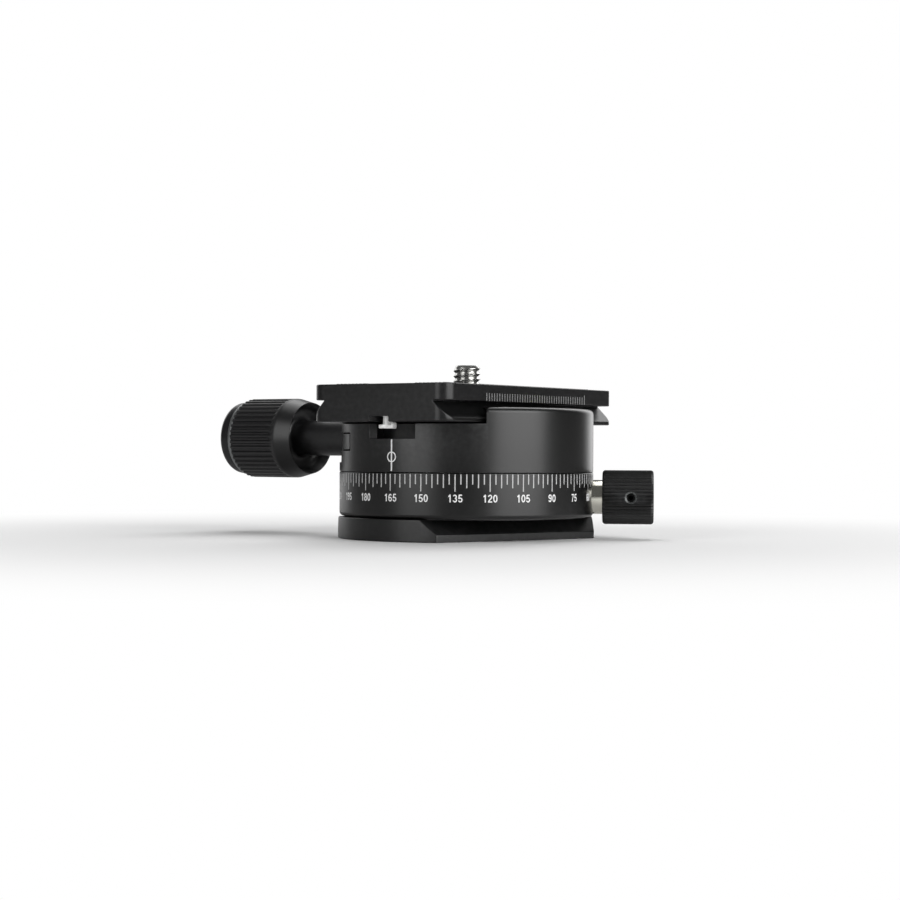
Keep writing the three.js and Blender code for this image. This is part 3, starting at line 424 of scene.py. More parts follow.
def carve(name: str, blank: Shell, tools: Sequence[Tool], edge: float, segments: int = 2) -> Piece:
    """Carve a blank with tool solids, then break its edges.

    Args:
        name: The piece's name.
        blank: The solid that is carved.
        tools: What to do, and the solid to do it with, in order.
        edge: Width of the broken edges, none if zero.
        segments: Segments across a broken edge.

    Returns:
        The finished piece.
    """
    piece = new_object(name, mesh_from(name, blank))
    cutters = []
    for number, (action, shell) in enumerate(tools):
        cutter = new_object(f"{name}_tool_{number}", mesh_from(f"{name}_tool", shell))
        cutters.append(cutter)
        step = piece.modifiers.new(f"carve_{number}", "BOOLEAN")
        step.operation, step.solver, step.object = action.value, "EXACT", cutter
    if cutters:
        bake_modifiers(piece)
    for cutter in cutters:
        bpy.data.meshes.remove(cutter.data)
    if edge > 0:
        weld = piece.modifiers.new("weld", "WELD")
        weld.merge_threshold = WELD_DISTANCE * MM
        bevel = piece.modifiers.new("broken_edges", "BEVEL")
        bevel.width, bevel.segments = edge * MM, segments
        bevel.limit_method, bevel.angle_limit = "ANGLE", math.radians(BEVEL_DEGREES)
        bevel.use_clamp_overlap, bevel.miter_outer = False, "MITER_ARC"
        bake_modifiers(piece)
    smooth_piece(piece)
    return piece


def plain(name: str, shell: Shell) -> Piece:
    """A piece from a finished surface."""
    piece = new_object(name, mesh_from(name, shell))
    smooth_piece(piece)
    return piece


# Finishes.


def add_node(tree: Tree, kind: str, inputs: dict[str | int, Any], **settings: Any) -> Node:
    """A new shader node.

    Args:
        tree: The node tree that it goes into.
        kind: Its type, without the leading ShaderNode.
        inputs: For each input's name or number, a value or another node's output.
        **settings: Its options.

    Returns:
        The node.
    """
    made = tree.nodes.new(f"ShaderNode{kind}")
    for key, value in settings.items():
        setattr(made, key, value)
    for key, value in inputs.items():
        if isinstance(value, Socket):
            tree.links.new(value, made.inputs[key])
        else:
            made.inputs[key].default_value = value
    return made


def maths(tree: Tree, operation: str, *values: Socket | float) -> Socket:
    """The output of a Math node fed with sockets or plain numbers."""
    return add_node(tree, "Math", dict(enumerate(values)), operation=operation).outputs[0]


def noise(tree: Tree, vector: Socket, scale: Socket, detail: float) -> Socket:
    """The value of a Noise Texture at a vector."""
    inputs = {"Vector": vector, "Scale": scale, "Detail": detail}
    return add_node(tree, "TexNoise", inputs).outputs["Fac"]


def object_place(tree: Tree) -> Socket:
    """The place on the piece, in its object coordinates."""
    return add_node(tree, "TexCoord", {}).outputs["Object"]


class NodeGroups:
    """Shader node groups that several finishes share, each built once."""

    @staticmethod
    def start(name: str, inputs: dict[str, float], output: str) -> tuple[Tree, Node, Socket]:
        """A new group with float inputs and one float output.

        Args:
            name: The group's name.
            inputs: Name and default value of each input.
            output: Name of the output.

        Returns:
            The tree, its input node, and the place where the output's value goes.
        """
        tree = bpy.data.node_groups.new(name, "ShaderNodeTree")
        for key, value in inputs.items():
            socket = tree.interface.new_socket(key, in_out="INPUT", socket_type="NodeSocketFloat")
            socket.default_value = value
        tree.interface.new_socket(output, in_out="OUTPUT", socket_type="NodeSocketFloat")
        return tree, tree.nodes.new("NodeGroupInput"), tree.nodes.new("NodeGroupOutput").inputs[0]

    @classmethod
    @cache
    def blasted_grain(cls) -> Tree:
        """Height of the tiny pits of a blasted surface."""
        tree, given, out = cls.start("blasted_grain", {"Pits": 5200.0}, "Height")
        tree.links.new(noise(tree, object_place(tree), given.outputs["Pits"], 3.0), out)
        return tree

    @classmethod
    @cache
    def slow_mottle(cls) -> Tree:
        """Slow change of tone over a surface, about zero."""
        tree, given, out = cls.start("slow_mottle", {"Mottle": 160.0}, "Tone")
        slow = noise(tree, object_place(tree), given.outputs["Mottle"], 4.0)
        tree.links.new(maths(tree, "SUBTRACT", slow, 0.5), out)
        return tree

    @classmethod
    @cache
    def edge_wear(cls) -> Tree:
        """Mask of rubbed edges and painted edge highlights: the stored edge turn, broken up by
        noise.
        """
        tree, given, out = cls.start("edge_wear", {"Patches": 900.0, "Amount": 0.5}, "Mask")
        stored = add_node(tree, "Attribute", {}, attribute_name="edge_turn")
        patches = noise(tree, object_place(tree), given.outputs["Patches"], 3.0)
        broken = maths(tree, "MULTIPLY", maths(tree, "POWER", patches, 1.6), 1.7)
        rubbed_and_sheen = maths(tree, "MULTIPLY", stored.outputs["Fac"], broken)
        mask = maths(tree, "MULTIPLY", rubbed_and_sheen, given.outputs["Amount"])
        tree.links.new(maths(tree, "MINIMUM", mask, 1.0), out)
        return tree

    @classmethod
    @cache
    def turned_rings(cls) -> Tree:
        """Fine rings that a cutting tool leaves: noise of the place along an axis alone."""
        inputs = {"Axis X": 0.0, "Axis Y": 0.0, "Axis Z": 1.0, "Rings": 9000.0}
        tree, given, out = cls.start("turned_rings", inputs, "Height")
        split = add_node(tree, "SeparateXYZ", {0: object_place(tree)})
        parts = [maths(tree, "MULTIPLY", split.outputs[i], given.outputs[i]) for i in range(3)]
        along = maths(tree, "ADD", maths(tree, "ADD", parts[0], parts[1]), parts[2])
        line = add_node(tree, "CombineXYZ", {0: along})
        tree.links.new(noise(tree, line.outputs[0], given.outputs["Rings"], 2.0), out)
        return tree


@dataclass(frozen=True)
class Finish:
    """A surface finish, made into a material of its own.

    Attributes:
        name: The material's name.
        slot: The record's material slot that it stands for; not used.
        colour: Base colour.
        roughness: Mean roughness.
        metallic: 0 or 1, and a little for the stop screws' chrome, whose near-white colour is a
            painted reflection.
        specular: Specular level.
        tone: How much the mottle changes colour and roughness.
        grain: Depth of the pits in millimetres.
        pits: Pits per metre.
        rings: Depth of turned rings in millimetres, none if zero.
        axis: Direction of those rings' axis.
        wear: Strength of lighter edges, partly rubbed wear and partly a painted highlight.
        wear_colour: Colour of those edges, under the worn skin and as painted highlight.
        glow: Strength of painted light, the colour sent out as emission: a glow, though nothing
            shines from inside.
        see_through: Transmission weight.
        ior: Index of refraction.
    """

    name: str
    slot: str
    colour: Colour
    roughness: float
    metallic: float = 0.0
    specular: float = 0.5
    tone: float = 0.1
    grain: float = 0.0
    pits: float = 5200.0
    rings: float = 0.0
    axis: Point = (0.0, 0.0, 1.0)
    wear: float = 0.0
    wear_colour: Colour = (0.25, 0.25, 0.26)
    glow: float = 0.0
    see_through: float = 0.0
    ior: float = 1.5

    def material(self) -> bpy.types.Material:
        """The finish's material, built the first time it is asked for."""
        found = bpy.data.materials.get(self.name)
        if found:
            return found
        made = bpy.data.materials.new(self.name)
        made.use_nodes = True
        tree = made.node_tree
        shader = tree.nodes["Principled BSDF"]
        constants = {"Metallic": self.metallic, "Specular IOR Level": self.specular,
                     "Transmission Weight": self.see_through, "IOR": self.ior}
        for key, value in constants.items():
            shader.inputs[key].default_value = value
        tone = add_node(tree, "Group", {}, node_tree=NodeGroups.slow_mottle()).outputs["Tone"]
        rough = maths(tree, "MULTIPLY_ADD", tone, self.tone * 0.5, self.roughness)
        colour = self._colour(tree, tone)
        tree.links.new(rough, shader.inputs["Roughness"])
        tree.links.new(colour, shader.inputs["Base Color"])
        # Painted glow: the colour is also sent out as light of its own.
        if self.glow > 0:
            tree.links.new(colour, shader.inputs["Emission Color"])
            shader.inputs["Emission Strength"].default_value = self.glow
        tree.links.new(self._relief(tree), shader.inputs["Normal"])
        return made

    def _colour(self, tree: Tree, tone: Socket) -> Socket:
        """Base colour: the finish's own, mottled, and lightened along the edges by wear and a
        painted edge highlight.
        """
        low = [c * (1 - self.tone) for c in self.colour]
        high = [min(1.0, c * (1 + self.tone)) for c in self.colour]
        share = maths(tree, "ADD", tone, 0.5)
        mottled = add_node(tree, "Mix", {"Factor": share, "A": (*low, 1), "B": (*high, 1)},
                           data_type="RGBA").outputs["Result"]
        if self.wear <= 0:
            return mottled
        # Edges lightened: partly rubbed wear, partly a painted highlight.
        worn_and_sheen = add_node(tree, "Group", {"Amount": self.wear}, node_tree=NodeGroups.edge_wear())
        inputs = {"Factor": worn_and_sheen.outputs[0], "A": mottled, "B": (*self.wear_colour, 1)}
        return add_node(tree, "Mix", inputs, data_type="RGBA").outputs["Result"]

    def _relief(self, tree: Tree) -> Socket:
        """The normal after bumps for the pits and the turned rings."""
        groups = [(NodeGroups.blasted_grain(), {"Pits": self.pits}, self.grain)]
        if self.rings > 0:
            axis = dict(zip(("Axis X", "Axis Y", "Axis Z"), self.axis))
            groups.append((NodeGroups.turned_rings(), axis, self.rings))
        inputs = {}
        for group, values, depth in groups:
            height = add_node(tree, "Group", values, node_tree=group).outputs["Height"]
            bump = add_node(tree, "Bump", {"Distance": depth * MM, "Height": height, **inputs})
            inputs = {"Normal": bump.outputs["Normal"]}
        return inputs["Normal"]


LOCK_TURN = 29.4
LOCK_AXIS = (math.cos(math.radians(LOCK_TURN)), math.sin(math.radians(LOCK_TURN)), 0.0)
CLAMP_AXIS = (1.0, 0.0, 0.0)

ANODISED = Finish("anodised_black", "black_anodised", (0.002, 0.0021, 0.002), 0.31,
                  specular=0.6, tone=0.06, grain=0.002, wear=0.1)
PLATE_BLACK = replace(ANODISED, name="plate_black", colour=(0.0026, 0.0026, 0.0026),
                      specular=0.44)
# Painted highlight: the knob's lighter edges stand partly for highlight lines along the dish's rim,
# partly for wear.
KNOB_BLACK = Finish("knob_black", "black_knob", (0.004, 0.004, 0.0044), 0.36, specular=0.6,
                    tone=0.08, grain=0.002, rings=0.001, axis=CLAMP_AXIS, wear=0.35)
LOCK_BLACK = Finish("lock_knob_black", "black_knob", (0.0045, 0.0047, 0.0044), 0.36,
                    specular=0.45, grain=0.002, wear=0.15)
GRIP_BLACK = Finish("grip_black", "knob_grip", (0.009, 0.009, 0.0096), 0.36, specular=0.7,
                    grain=0.002)
CAP_BLACK = Finish("cap_black", "knob_cap", (0.008, 0.008, 0.009), 0.3, grain=0.002)
STEEL = Finish("turned_steel", "steel", (0.62, 0.62, 0.6), 0.24, metallic=1.0, tone=0.06,
               rings=0.002)
CLAMP_STEEL = replace(STEEL, name="clamp_steel", colour=(0.6, 0.6, 0.58), axis=CLAMP_AXIS)
LOCK_STEEL = replace(STEEL, name="lock_steel", colour=(0.8, 0.78, 0.7), roughness=0.16,
                     rings=0.0012, axis=LOCK_AXIS)
DARK_STEEL = Finish("blackened_steel", "dark_steel", (0.05, 0.05, 0.055), 0.36, metallic=1.0,
                    tone=0.25, grain=0.003, wear=0.4)
SOCKET_BLACK = Finish("socket_black", "dark_steel", (0.002, 0.002, 0.002), 0.6, specular=0.1)
RIM_STEEL = Finish("bare_rim", "black_knob", (0.3, 0.31, 0.31), 0.36, metallic=1.0)
# Painted reflection: the stop screws' chrome is a near-white, mostly diffuse colour that stands in
# for its bright reflections.
PAINTED_BRIGHT_CHROME = Finish("chrome_with_painted_reflection", "chrome", (0.99, 0.99, 0.97), 0.34, metallic=0.1, tone=0.02)
BRASS = Finish("turned_brass", "brass", (0.72, 0.5, 0.22), 0.28, metallic=1.0, rings=0.002)
NYLON = Finish("white_nylon", "nylon", (0.8, 0.78, 0.73), 0.5, tone=0.05, grain=0.003)
RUBBER = Finish("black_rubber", "rubber", (0.016, 0.016, 0.016), 0.75, specular=0.4,
                tone=0.25, grain=0.02, pits=2600.0)
PAINT = Finish("white_paint", "black_anodised", (0.88, 0.88, 0.88), 0.55, specular=0.3,
               tone=0.05, grain=0.002)
FINE_PAINT = replace(PAINT, name="grey_paint", colour=(0.56, 0.56, 0.56))
SCALE_PAINT = replace(PAINT, name="dim_paint", colour=(0.3, 0.3, 0.3))
# Painted glow: the level's liquid and bubble give off light of their own, though they are no lamps.
FLUID = Finish("level_liquid", "level_fluid", (0.42, 0.75, 0.06), 0.12, tone=0.03, glow=0.12)
BUBBLE = Finish("level_bubble", "level_fluid", (0.8, 0.95, 0.55), 0.05, tone=0.02, glow=0.1)
LENS = Finish("level_glass", "level_lens", (0.97, 1.0, 0.97), 0.03, see_through=1.0, tone=0.0,
              ior=1.49)
MARK_BLACK = Finish("level_ring_black", "level_lens", (0.01, 0.01, 0.01), 0.5, tone=0.2)


def dress(piece: Piece, finish: Finish, body: str, *replaced: str) -> Piece:
    """Give a piece its finish, let it ride on its body and stand for CAD nodes.

    Args:
        piece: The piece, in place.
        finish: What its surface is made of.
        body: The moving body that carries it.
        *replaced: The CAD nodes that it stands for.

    Returns:
        The piece.
    """
    piece.data.materials.clear()
    piece.data.materials.append(finish.material())
    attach(piece, body)
    if replaced:
        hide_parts(*replaced)
    log.info("%s rides on %s, %d faces", piece.name, body, len(piece.data.polygons))
    return piece


def dress_nodes(finish: Finish, *nodes: str) -> None:
    """Give hidden CAD nodes, kept as they are, the finish's material."""
    for node in nodes:
        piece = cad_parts[node]
        piece.data.materials.clear()
        piece.data.materials.append(finish.material())
        log.info("%s keeps its CAD mesh", node)


# Sub-assemblies.


@dataclass(frozen=True)
class Sizes:
    """Heights and radii that several sub-assemblies share."""

    drum: float = 30.0
    foot_top: float = 5.1
    ring_bottom: float = 5.2
    ring_top: float = 15.6
    table_bottom: float = 15.85
    groove_floor: float = 26.7
    drum_top: float = 30.4
    drum_fillet: float = 1.25
    groove_half: float = 20.3
    lip_low: float = 19.424
    lip_top: float = 16.774
    slope_bottom: float = 27.75
    plate_bottom: float = 27.0
    plate_top: float = 35.5
    lip_half_length: float = 18.0
    clamp_height: float = 23.55
    lock_height: float = 9.85
    screw_circle: float = 12.8
    past: float = 60.0
    sides: int = 288


SIZES = Sizes()


@dataclass
class Screw:
    """A screw's own sizes: shank, head, hexagon socket and length."""

    shank: float
    head: float
    head_height: float
    length: float
    socket: float
    socket_depth: float

    def countersunk(self, name: str) -> Piece:
        """Head down at height zero: a cone from the head to the shank, with a hexagon in it."""
        blank = turned_solid([
            (0, 0), (self.head, 0, 0.08), (self.head, 0.15), (self.shank, self.head_height, 0.3),
            (self.shank, self.length, 0.3), (0, self.length),
        ], SMALL, 3)
        tools = cuts(hexagon(self.socket, -1, self.socket_depth))
        return carve(name, blank, tools, edge=0.04, segments=1)

    def hole(self) -> Shell:
        """The room that a countersunk screw needs, a gap wider all round."""
        slope = (self.head - self.shank) / self.head_height
        wide, narrow, end = self.head + GAP + GAP * slope, self.shank + GAP, self.length + GAP
        return turned_solid([(0, -2), (wide, -2), (wide, 0), (narrow, self.head_height + GAP),
                             (narrow, end), (0, end)], 40)


def oval(x: float, y: float, wide: float, tall: float, start: float, end: float,
         steps: int = 20) -> Array:
    """Points of an oval's arc: (x + wide cos a, y + tall sin a) from start to end degrees."""
    angle = np.radians(np.linspace(start, end, steps))
    return np.stack([x + wide * np.cos(angle), y + tall * np.sin(angle)], 1)


def stroke(*points: Sequence[float]) -> tuple[Array, bool]:
    """An open line through points of (x, y)."""
    return np.array(points), False


def bow(x: float, y: float, wide: float, tall: float) -> tuple[Array, bool]:
    """A closed oval round a middle."""
    return oval(x, y, wide, tall, 0, 345, 24), True


# Centre lines of plain bold digits, one unit tall and centred on the origin: points of
# (x, y), and whether each line is closed.
DIGITS: dict[str, list[tuple[Array, bool]]] = {
    "0": [bow(0, 0, 0.21, 0.425)],
    "1": [stroke((0.06, -0.5), (0.06, 0.5)), stroke(*oval(-0.18, 0.5, 0.2, 0.25, -90, -20, 6))],
    "2": [stroke(*oval(0, 0.2, 0.2, 0.225, 175, -30, 16), (0.05, -0.06), (-0.12, -0.24),
                 (-0.19, -0.4)),
          stroke((-0.27, -0.425), (0.27, -0.425))],
    "3": [stroke(*oval(-0.01, 0.215, 0.18, 0.21, 165, -90)),
          stroke(*oval(-0.01, -0.2, 0.21, 0.225, 90, -168))],
    "4": [stroke((0.1, -0.5), (0.1, 0.5)), stroke((0.05, 0.42), (-0.22, -0.2)),
          stroke((-0.28, -0.22), (0.27, -0.22))],
    "5": [stroke((-0.16, 0.425), (0.23, 0.425)), stroke((-0.13, 0.45), (-0.19, -0.06)),
          stroke(*oval(-0.005, -0.185, 0.215, 0.24, 138, -165))],
    "6": [bow(0, -0.2, 0.205, 0.225), stroke(*oval(0.01, 0, 0.22, 0.425, 38, 190))],
    "7": [stroke((-0.25, 0.425), (0.26, 0.425)),
          stroke((0.21, 0.4), (0.06, 0.14), (-0.04, -0.16), (-0.08, -0.5))],
    "8": [bow(0, 0.215, 0.175, 0.2), bow(0, -0.205, 0.21, 0.22)],
}
DIGITS["9"] = [(-line, closed) for line, closed in DIGITS["6"]]


@dataclass
class DialMarks:
    """White marks round the graduated ring, and the index on the turntable."""

    zero_degrees: float = 74.4
    step_degrees: float = 2.5
    label_step: int = 15
    tick_top: float = 15.33
    tick_width: float = 0.25
    short_tick: float = 2.25
    middle_tick: float = 3.05
    long_tick: float = 3.85
    label_height: float = 9.97
    digit_height: float = 1.75
    digit_step: float = 1.19
    digit_stroke: float = 0.27
    proud: float = 0.02
    index_degrees: float = -90.0
    index_width: float = 0.36
    index_low: float = 15.95
    index_high: float = 23.1
    circle_height: float = 19.15
    circle_radius: float = 1.08
    circle_stroke: float = 0.26

    def ticks(self) -> Shell:
        """All ticks in one surface: for each, a thin box bent round the ring.

        A tick's corners are (x, z, depth) with x half a width either way, z from the top
        down by its length, and depth 0 or 1.
        """
        number = np.arange(round(360 / self.step_degrees))
        length = np.full(len(number), self.short_tick)
        length[number % 2 == 0] = self.middle_tick
        length[number % round(self.label_step / self.step_degrees) == 0] = self.long_tick
        across, up, out = box_corners()
        flat = np.stack(np.broadcast_arrays(
            across * self.tick_width / 2, self.tick_top - length[:, None] * (1 - up), out), 2)
        degrees = self.zero_degrees - number * self.step_degrees
        return boxes(wrapped_on_drum(flat, degrees[:, None], self.proud))

    def labels(self) -> Shell:
        """The dial's numbers, which grow clockwise seen from above, as strokes bent round it."""
        strokes = []
        for value in range(0, 360, self.label_step):
            digits = str(value)
            for place, digit in enumerate(digits):
                shift = (place - (len(digits) - 1) / 2) * self.digit_step
                for line, closed in DIGITS[digit]:
                    flat = line * self.digit_height + [shift, self.label_height]
                    strokes.append(self.bent_band(flat, self.digit_stroke / 2, closed,
                                                  self.zero_degrees - value))
        return joined(strokes)

    def bent_band(self, centre: Array, half: float, closed: bool, degrees: float) -> Shell:
        """A stroke along a flat line of (x, z), as a thin solid bent round the drum.

        The stroke's two borders lie half a width either side of the line, along the line's
        own perpendicular.
        """
        ahead = np.roll(centre, -1, axis=0) - centre if closed else np.gradient(centre, axis=0)
        if closed:
            ahead = ahead + centre - np.roll(centre, 1, axis=0)
        ahead /= np.linalg.norm(ahead, axis=1, keepdims=True)
        side = np.stack([-ahead[:, 1], ahead[:, 0]], 1) * half
        ring = np.stack([centre - side, centre + side], 1)
        count = len(centre)
        flat = np.concatenate([
            np.concatenate([ring, np.full((count, 2, 1), depth)], 2) for depth in (0.0, 1.0)
        ], axis=1).reshape(-1, 3)
        grid = np.arange(count * 4).reshape(count, 4)[:, [0, 1, 3, 2]]
        low = grid if closed else grid[:-1]
        high = np.roll(grid, -1, axis=0) if closed else grid[1:]
        next_low, next_high = np.roll(low, -1, axis=1), np.roll(high, -1, axis=1)
        faces = [np.stack([low, high, next_high, next_low], 2).reshape(-1, 4)]
        if not closed:
            faces += [grid[0][None], grid[-1][::-1][None]]
        return Shell(wrapped_on_drum(flat, degrees, self.proud), faces)

    def index(self) -> Shell:
        """The index: a circle on the turntable with an upright line through it."""
        angle = np.arange(64) * 2 * np.pi / 64
        circle = self.circle_radius * np.stack([np.cos(angle), np.sin(angle)], 1)
        circle[:, 1] += self.circle_height
        line = np.stack([np.zeros(12), np.linspace(self.index_low, self.index_high, 12)], 1)
        return joined([
            self.bent_band(circle, self.circle_stroke / 2, True, self.index_degrees),
            self.bent_band(line, self.index_width / 2, False, self.index_degrees),
        ])

    def build(self) -> None:
        """Make the ring's ticks and numbers and the turntable's index."""
        dress(plain("dial_ticks", self.ticks()), FINE_PAINT, "base")
        dress(plain("dial_numbers", self.labels()), PAINT, "base")
        dress(plain("dial_index", self.index()), PAINT, "turntable")


@dataclass
class Base:
    """The part that stands still: foot, socket bushing and graduated ring."""

    foot_radius: float = 30.3
    foot_half_width: float = 19.0
    foot_edge: float = 1.7
    foot_turn: float = -17.1
    spigot_radius: float = 28.3
    boss_radius: float = 8.6
    boss_top: float = 13.6
    bushing_radius: float = 6.2
    flange_radius: float = 7.4
    flange_height: float = 1.1
    bushing_recess: float = 0.2
    bushing_length: float = 11.2
    socket_radius: float = 3.97
    thread_pitch: float = 1.5875
    thread_depth: float = 0.75
    counterbore_radius: float = 20.2
    counterbore_top: float = 7.5
    bore_radius: float = 16.3
    glide_inner: float = 20.7
    glide_outer: float = 27.3
    glide_floor: float = 14.85
    lower_round: float = 1.0
    screw_radius: float = 24.5
    screw_spread: float = 25.0
    screw_recess: float = 0.2
    screw: Screw = field(default_factory=lambda: Screw(1.5, 2.8, 1.6, 10.0, 2.0, 1.2))

    def screw_angles(self) -> list[float]:
        """Directions of the four foot screws, in the nodes' order."""
        offsets = (90 - self.screw_spread, 90 + self.screw_spread)
        return [self.foot_turn + o + half for o in offsets for half in (0, 180)]

    def screw_holes(self) -> list[Tool]:
        """Rooms of the foot screws."""
        room = self.screw.hole().moved(x=self.screw_radius, z=self.screw_recess)
        return cuts(*[room.turned("z", angle) for angle in self.screw_angles()])

    def foot(self) -> Piece:
        """A turned plate with a boss, its two flanks cut to a dovetail."""
        s, half, top = SIZES, self.foot_half_width, SIZES.foot_top
        blank = turned_solid([
            (0, 0), (self.foot_radius, 0, 0.25), (self.foot_radius, top, 0.25),
            (self.spigot_radius, top), (self.spigot_radius, s.ring_bottom),
            (self.boss_radius, s.ring_bottom), (self.boss_radius, self.boss_top, 0.5),
            (0, self.boss_top),
        ], s.sides, 4)
        flank = carried([(half, -2), (s.past, -2), (s.past, top),
                         (half - (top - self.foot_edge), top), (half, self.foot_edge)],
                        -s.past, s.past)
        flanks = [flank.turned("z", self.foot_turn + turn) for turn in (0, 180)]
        wide, narrow = self.flange_radius + GAP, self.bushing_radius + GAP
        step = self.bushing_recess + self.flange_height
        end = self.bushing_recess + self.bushing_length + GAP
        room = turned_solid([(0, -2), (wide, -2), (wide, step), (narrow, step), (narrow, end),
                             (0, end)], 72)
        return carve("foot", blank, cuts(*flanks, room) + self.screw_holes(), edge=0.16)

    def bushing(self) -> Piece:
        """Flanged steel bushing whose bore carries the tripod's screw thread."""
        top = self.bushing_length
        rows = np.linspace(top - 0.5, 0.5, 84)
        inner = self.socket_radius + 0.5
        outside = rounded([
            (inner, 0), (self.flange_radius, 0, 0.15),
            (self.flange_radius, self.flange_height, 0.15),
            (self.bushing_radius, self.flange_height, 0.1), (self.bushing_radius, top, 0.4),
            (inner, top),
        ], closed=False, steps=3)
        inside = np.stack([np.full(len(rows), self.socket_radius), rows], 1)
        profile = np.concatenate([outside, inside, outside[:1]])
        relief = thread_relief(profile[:, 1], FINE, self.thread_pitch, self.thread_depth, 0.2,
                               top - 0.2, 1.0)
        relief[: len(outside)] = 0
        relief[-1] = 0
        return plain("tripod_socket", lathe(profile, FINE, relief).moved(z=self.bushing_recess))

    def ring(self, lock_bores: list[Tool]) -> Piece:
        """The graduated ring: a stepped tube with the lock's bore in its side."""
        s = SIZES
        blank = turned_ring([
            (self.counterbore_radius, s.ring_bottom), (s.drum, s.ring_bottom, self.lower_round),
            (s.drum, s.ring_top, 0.25), (self.glide_outer, s.ring_top),
            (self.glide_outer, self.glide_floor), (self.glide_inner, self.glide_floor),
            (self.glide_inner, s.ring_top), (self.bore_radius, s.ring_top),
            (self.bore_radius, self.counterbore_top),
            (self.counterbore_radius, self.counterbore_top),
        ], s.sides)
        return carve("graduated_ring", blank, lock_bores + self.screw_holes(), edge=0.08)

    def build(self, lock_bores: list[Tool]) -> None:
        """Make the base's pieces and dress its hidden nodes."""
        dress(self.foot(), ANODISED, "base", "foot_plate")
        dress(self.bushing(), STEEL, "base", "socket_bushing")
        dress(self.ring(lock_bores), ANODISED, "base", "dial_ring")
        place = Matrix.Translation(Vector((self.screw_radius, 0, self.screw_recess)) * MM)
        for number, angle in enumerate(self.screw_angles(), 1):
            screw = self.screw.countersunk(f"foot_bolt_{number}")
            screw.data.transform(Matrix.Rotation(math.radians(angle), 4, "Z") @ place)
            dress(screw, DARK_STEEL, "base", f"foot_screw_{number}")
        dress_nodes(NYLON, "upper_glide_ring")
        dress_nodes(BRASS, "lock_bushing")


@dataclass
class PanLock:
    """The pan lock on its radial axis: screw, knurled knob, grub screw and brake shoe."""

    spotface_radius: float = 4.2
    spotface: float = 29.4
    bushing_room: float = 3.8
    bushing_start: float = 22.2
    shoe_room: float = 1.9
    shoe_room_start: float = 14.3
    thread_radius: float = 2.5
    shoulder_radius: float = 4.0
    shoulder_start: float = 29.5
    knob_start: float = 32.2
    knob_end: float = 44.2
    knob_radius: float = 6.35
    knob_round: float = 0.7
    end_wall: float = 1.6
    ribs: int = 44
    rib_height: float = 0.36
    grub_place: float = 38.9
    grub_radius: float = 0.98
    grub_recess: float = 0.55
    grub_bottom: float = 2.8
    grub_socket: float = 1.3
    rim_radius: float = 1.42

    def laid(self, shell: Shell) -> Shell:
        """Lay a surface turned about Z along the lock's axis."""
        return shell.turned("y", 90).turned("z", LOCK_TURN).moved(z=SIZES.lock_height)

    def bores(self) -> list[Tool]:
        """Tools for the lock's bore in the graduated ring."""
        return cuts(*[self.laid(shell) for shell in (
            rod(self.spotface_radius, self.spotface, SIZES.drum + 2, FINE),
            rod(self.bushing_room, self.bushing_start - GAP, SIZES.drum),
            rod(self.shoe_room, self.shoe_room_start, self.bushing_start, SMALL),
        )])

    def screw(self) -> Piece:
        """Polished screw with a shoulder between ring and knob."""
        stem_end, tip = self.knob_start, self.knob_end - self.end_wall - GAP
        return plain("lock_stem", self.laid(turned_solid([
            (0, self.bushing_start), (self.thread_radius, self.bushing_start, 0.3),
            (self.thread_radius, self.shoulder_start),
            (self.shoulder_radius, self.shoulder_start, 0.1), (self.shoulder_radius, stem_end),
            (self.thread_radius, stem_end), (self.thread_radius, tip, 0.3), (0, tip),
        ], FINE, 4)))

    def knob(self) -> Piece:
        """Knob with straight knurls.

        Over each pitch the radius falls by the rib height along a straight line and rises
        again. The knurls fade out over the rounded ends.
        """
        profile = rounded([
            (0, self.knob_start), (self.knob_radius, self.knob_start, self.knob_round),
            (self.knob_radius, self.knob_end, self.knob_round), (0, self.knob_end),
        ], closed=False, steps=7)
        sides = self.ribs * 10
        wave = 1 - np.abs(2 * ((np.arange(sides) * self.ribs / sides) % 1.0) - 1)
        share = smooth_step((profile[:, 0] - self.knob_radius + self.knob_round) / self.knob_round)
        relief = -self.rib_height * share[:, None] * wave[None]
        blank = lathe(profile, sides, relief)
        room = rod(self.thread_radius + GAP, self.knob_start - 2, self.knob_end - self.end_wall,
                   SMALL)
        grub = self.crosswise(rod(self.rim_radius, 0, self.knob_radius + 2, SMALL))
        return carve("lock_knob_body", self.laid(blank), cuts(self.laid(room), grub), edge=0.0)

    def crosswise(self, shell: Shell) -> Shell:
        """Lay a surface turned about Z across the knob, at the grub screw's place."""
        return self.laid(shell.turned("x", 90).moved(z=self.grub_place))

    def grub(self) -> Piece:
        """Grub screw with a hexagon socket, sunk in the knob's side."""
        low, top = self.grub_bottom, self.knob_radius - self.grub_recess
        blank = turned_solid([
            (0, low), (self.grub_radius, low, 0.2), (self.grub_radius, top, 0.15), (0, top),
        ], SMALL, 3)
        room = self.crosswise(hexagon(self.grub_socket, top - 2, top + 1))
        return carve("lock_grub", self.crosswise(blank), cuts(room), edge=0.0)

    def rim(self) -> Piece:
        """Bright countersunk rim of the grub screw's hole, as a ring in the knob's side."""
        inner, outer, top = self.grub_radius + 0.03, self.rim_radius, self.knob_radius
        ring = turned_ring([(inner, top - 2.5), (outer, top - 2.5), (outer, top - 0.1),
                            (inner, top - 0.5)], SMALL)
        return plain("lock_hole_rim", self.crosswise(ring))

    def build(self) -> None:
        """Make the lock's pieces and dress its hidden node."""
        dress(self.screw(), LOCK_STEEL, "lock", "lock_screw")
        dress(self.knob(), LOCK_BLACK, "lock", "lock_knob")
        dress(self.grub(), SOCKET_BLACK, "lock", "lock_grub_screw")
        dress(self.rim(), RIM_STEEL, "lock")
        dress_nodes(NYLON, "brake_shoe")


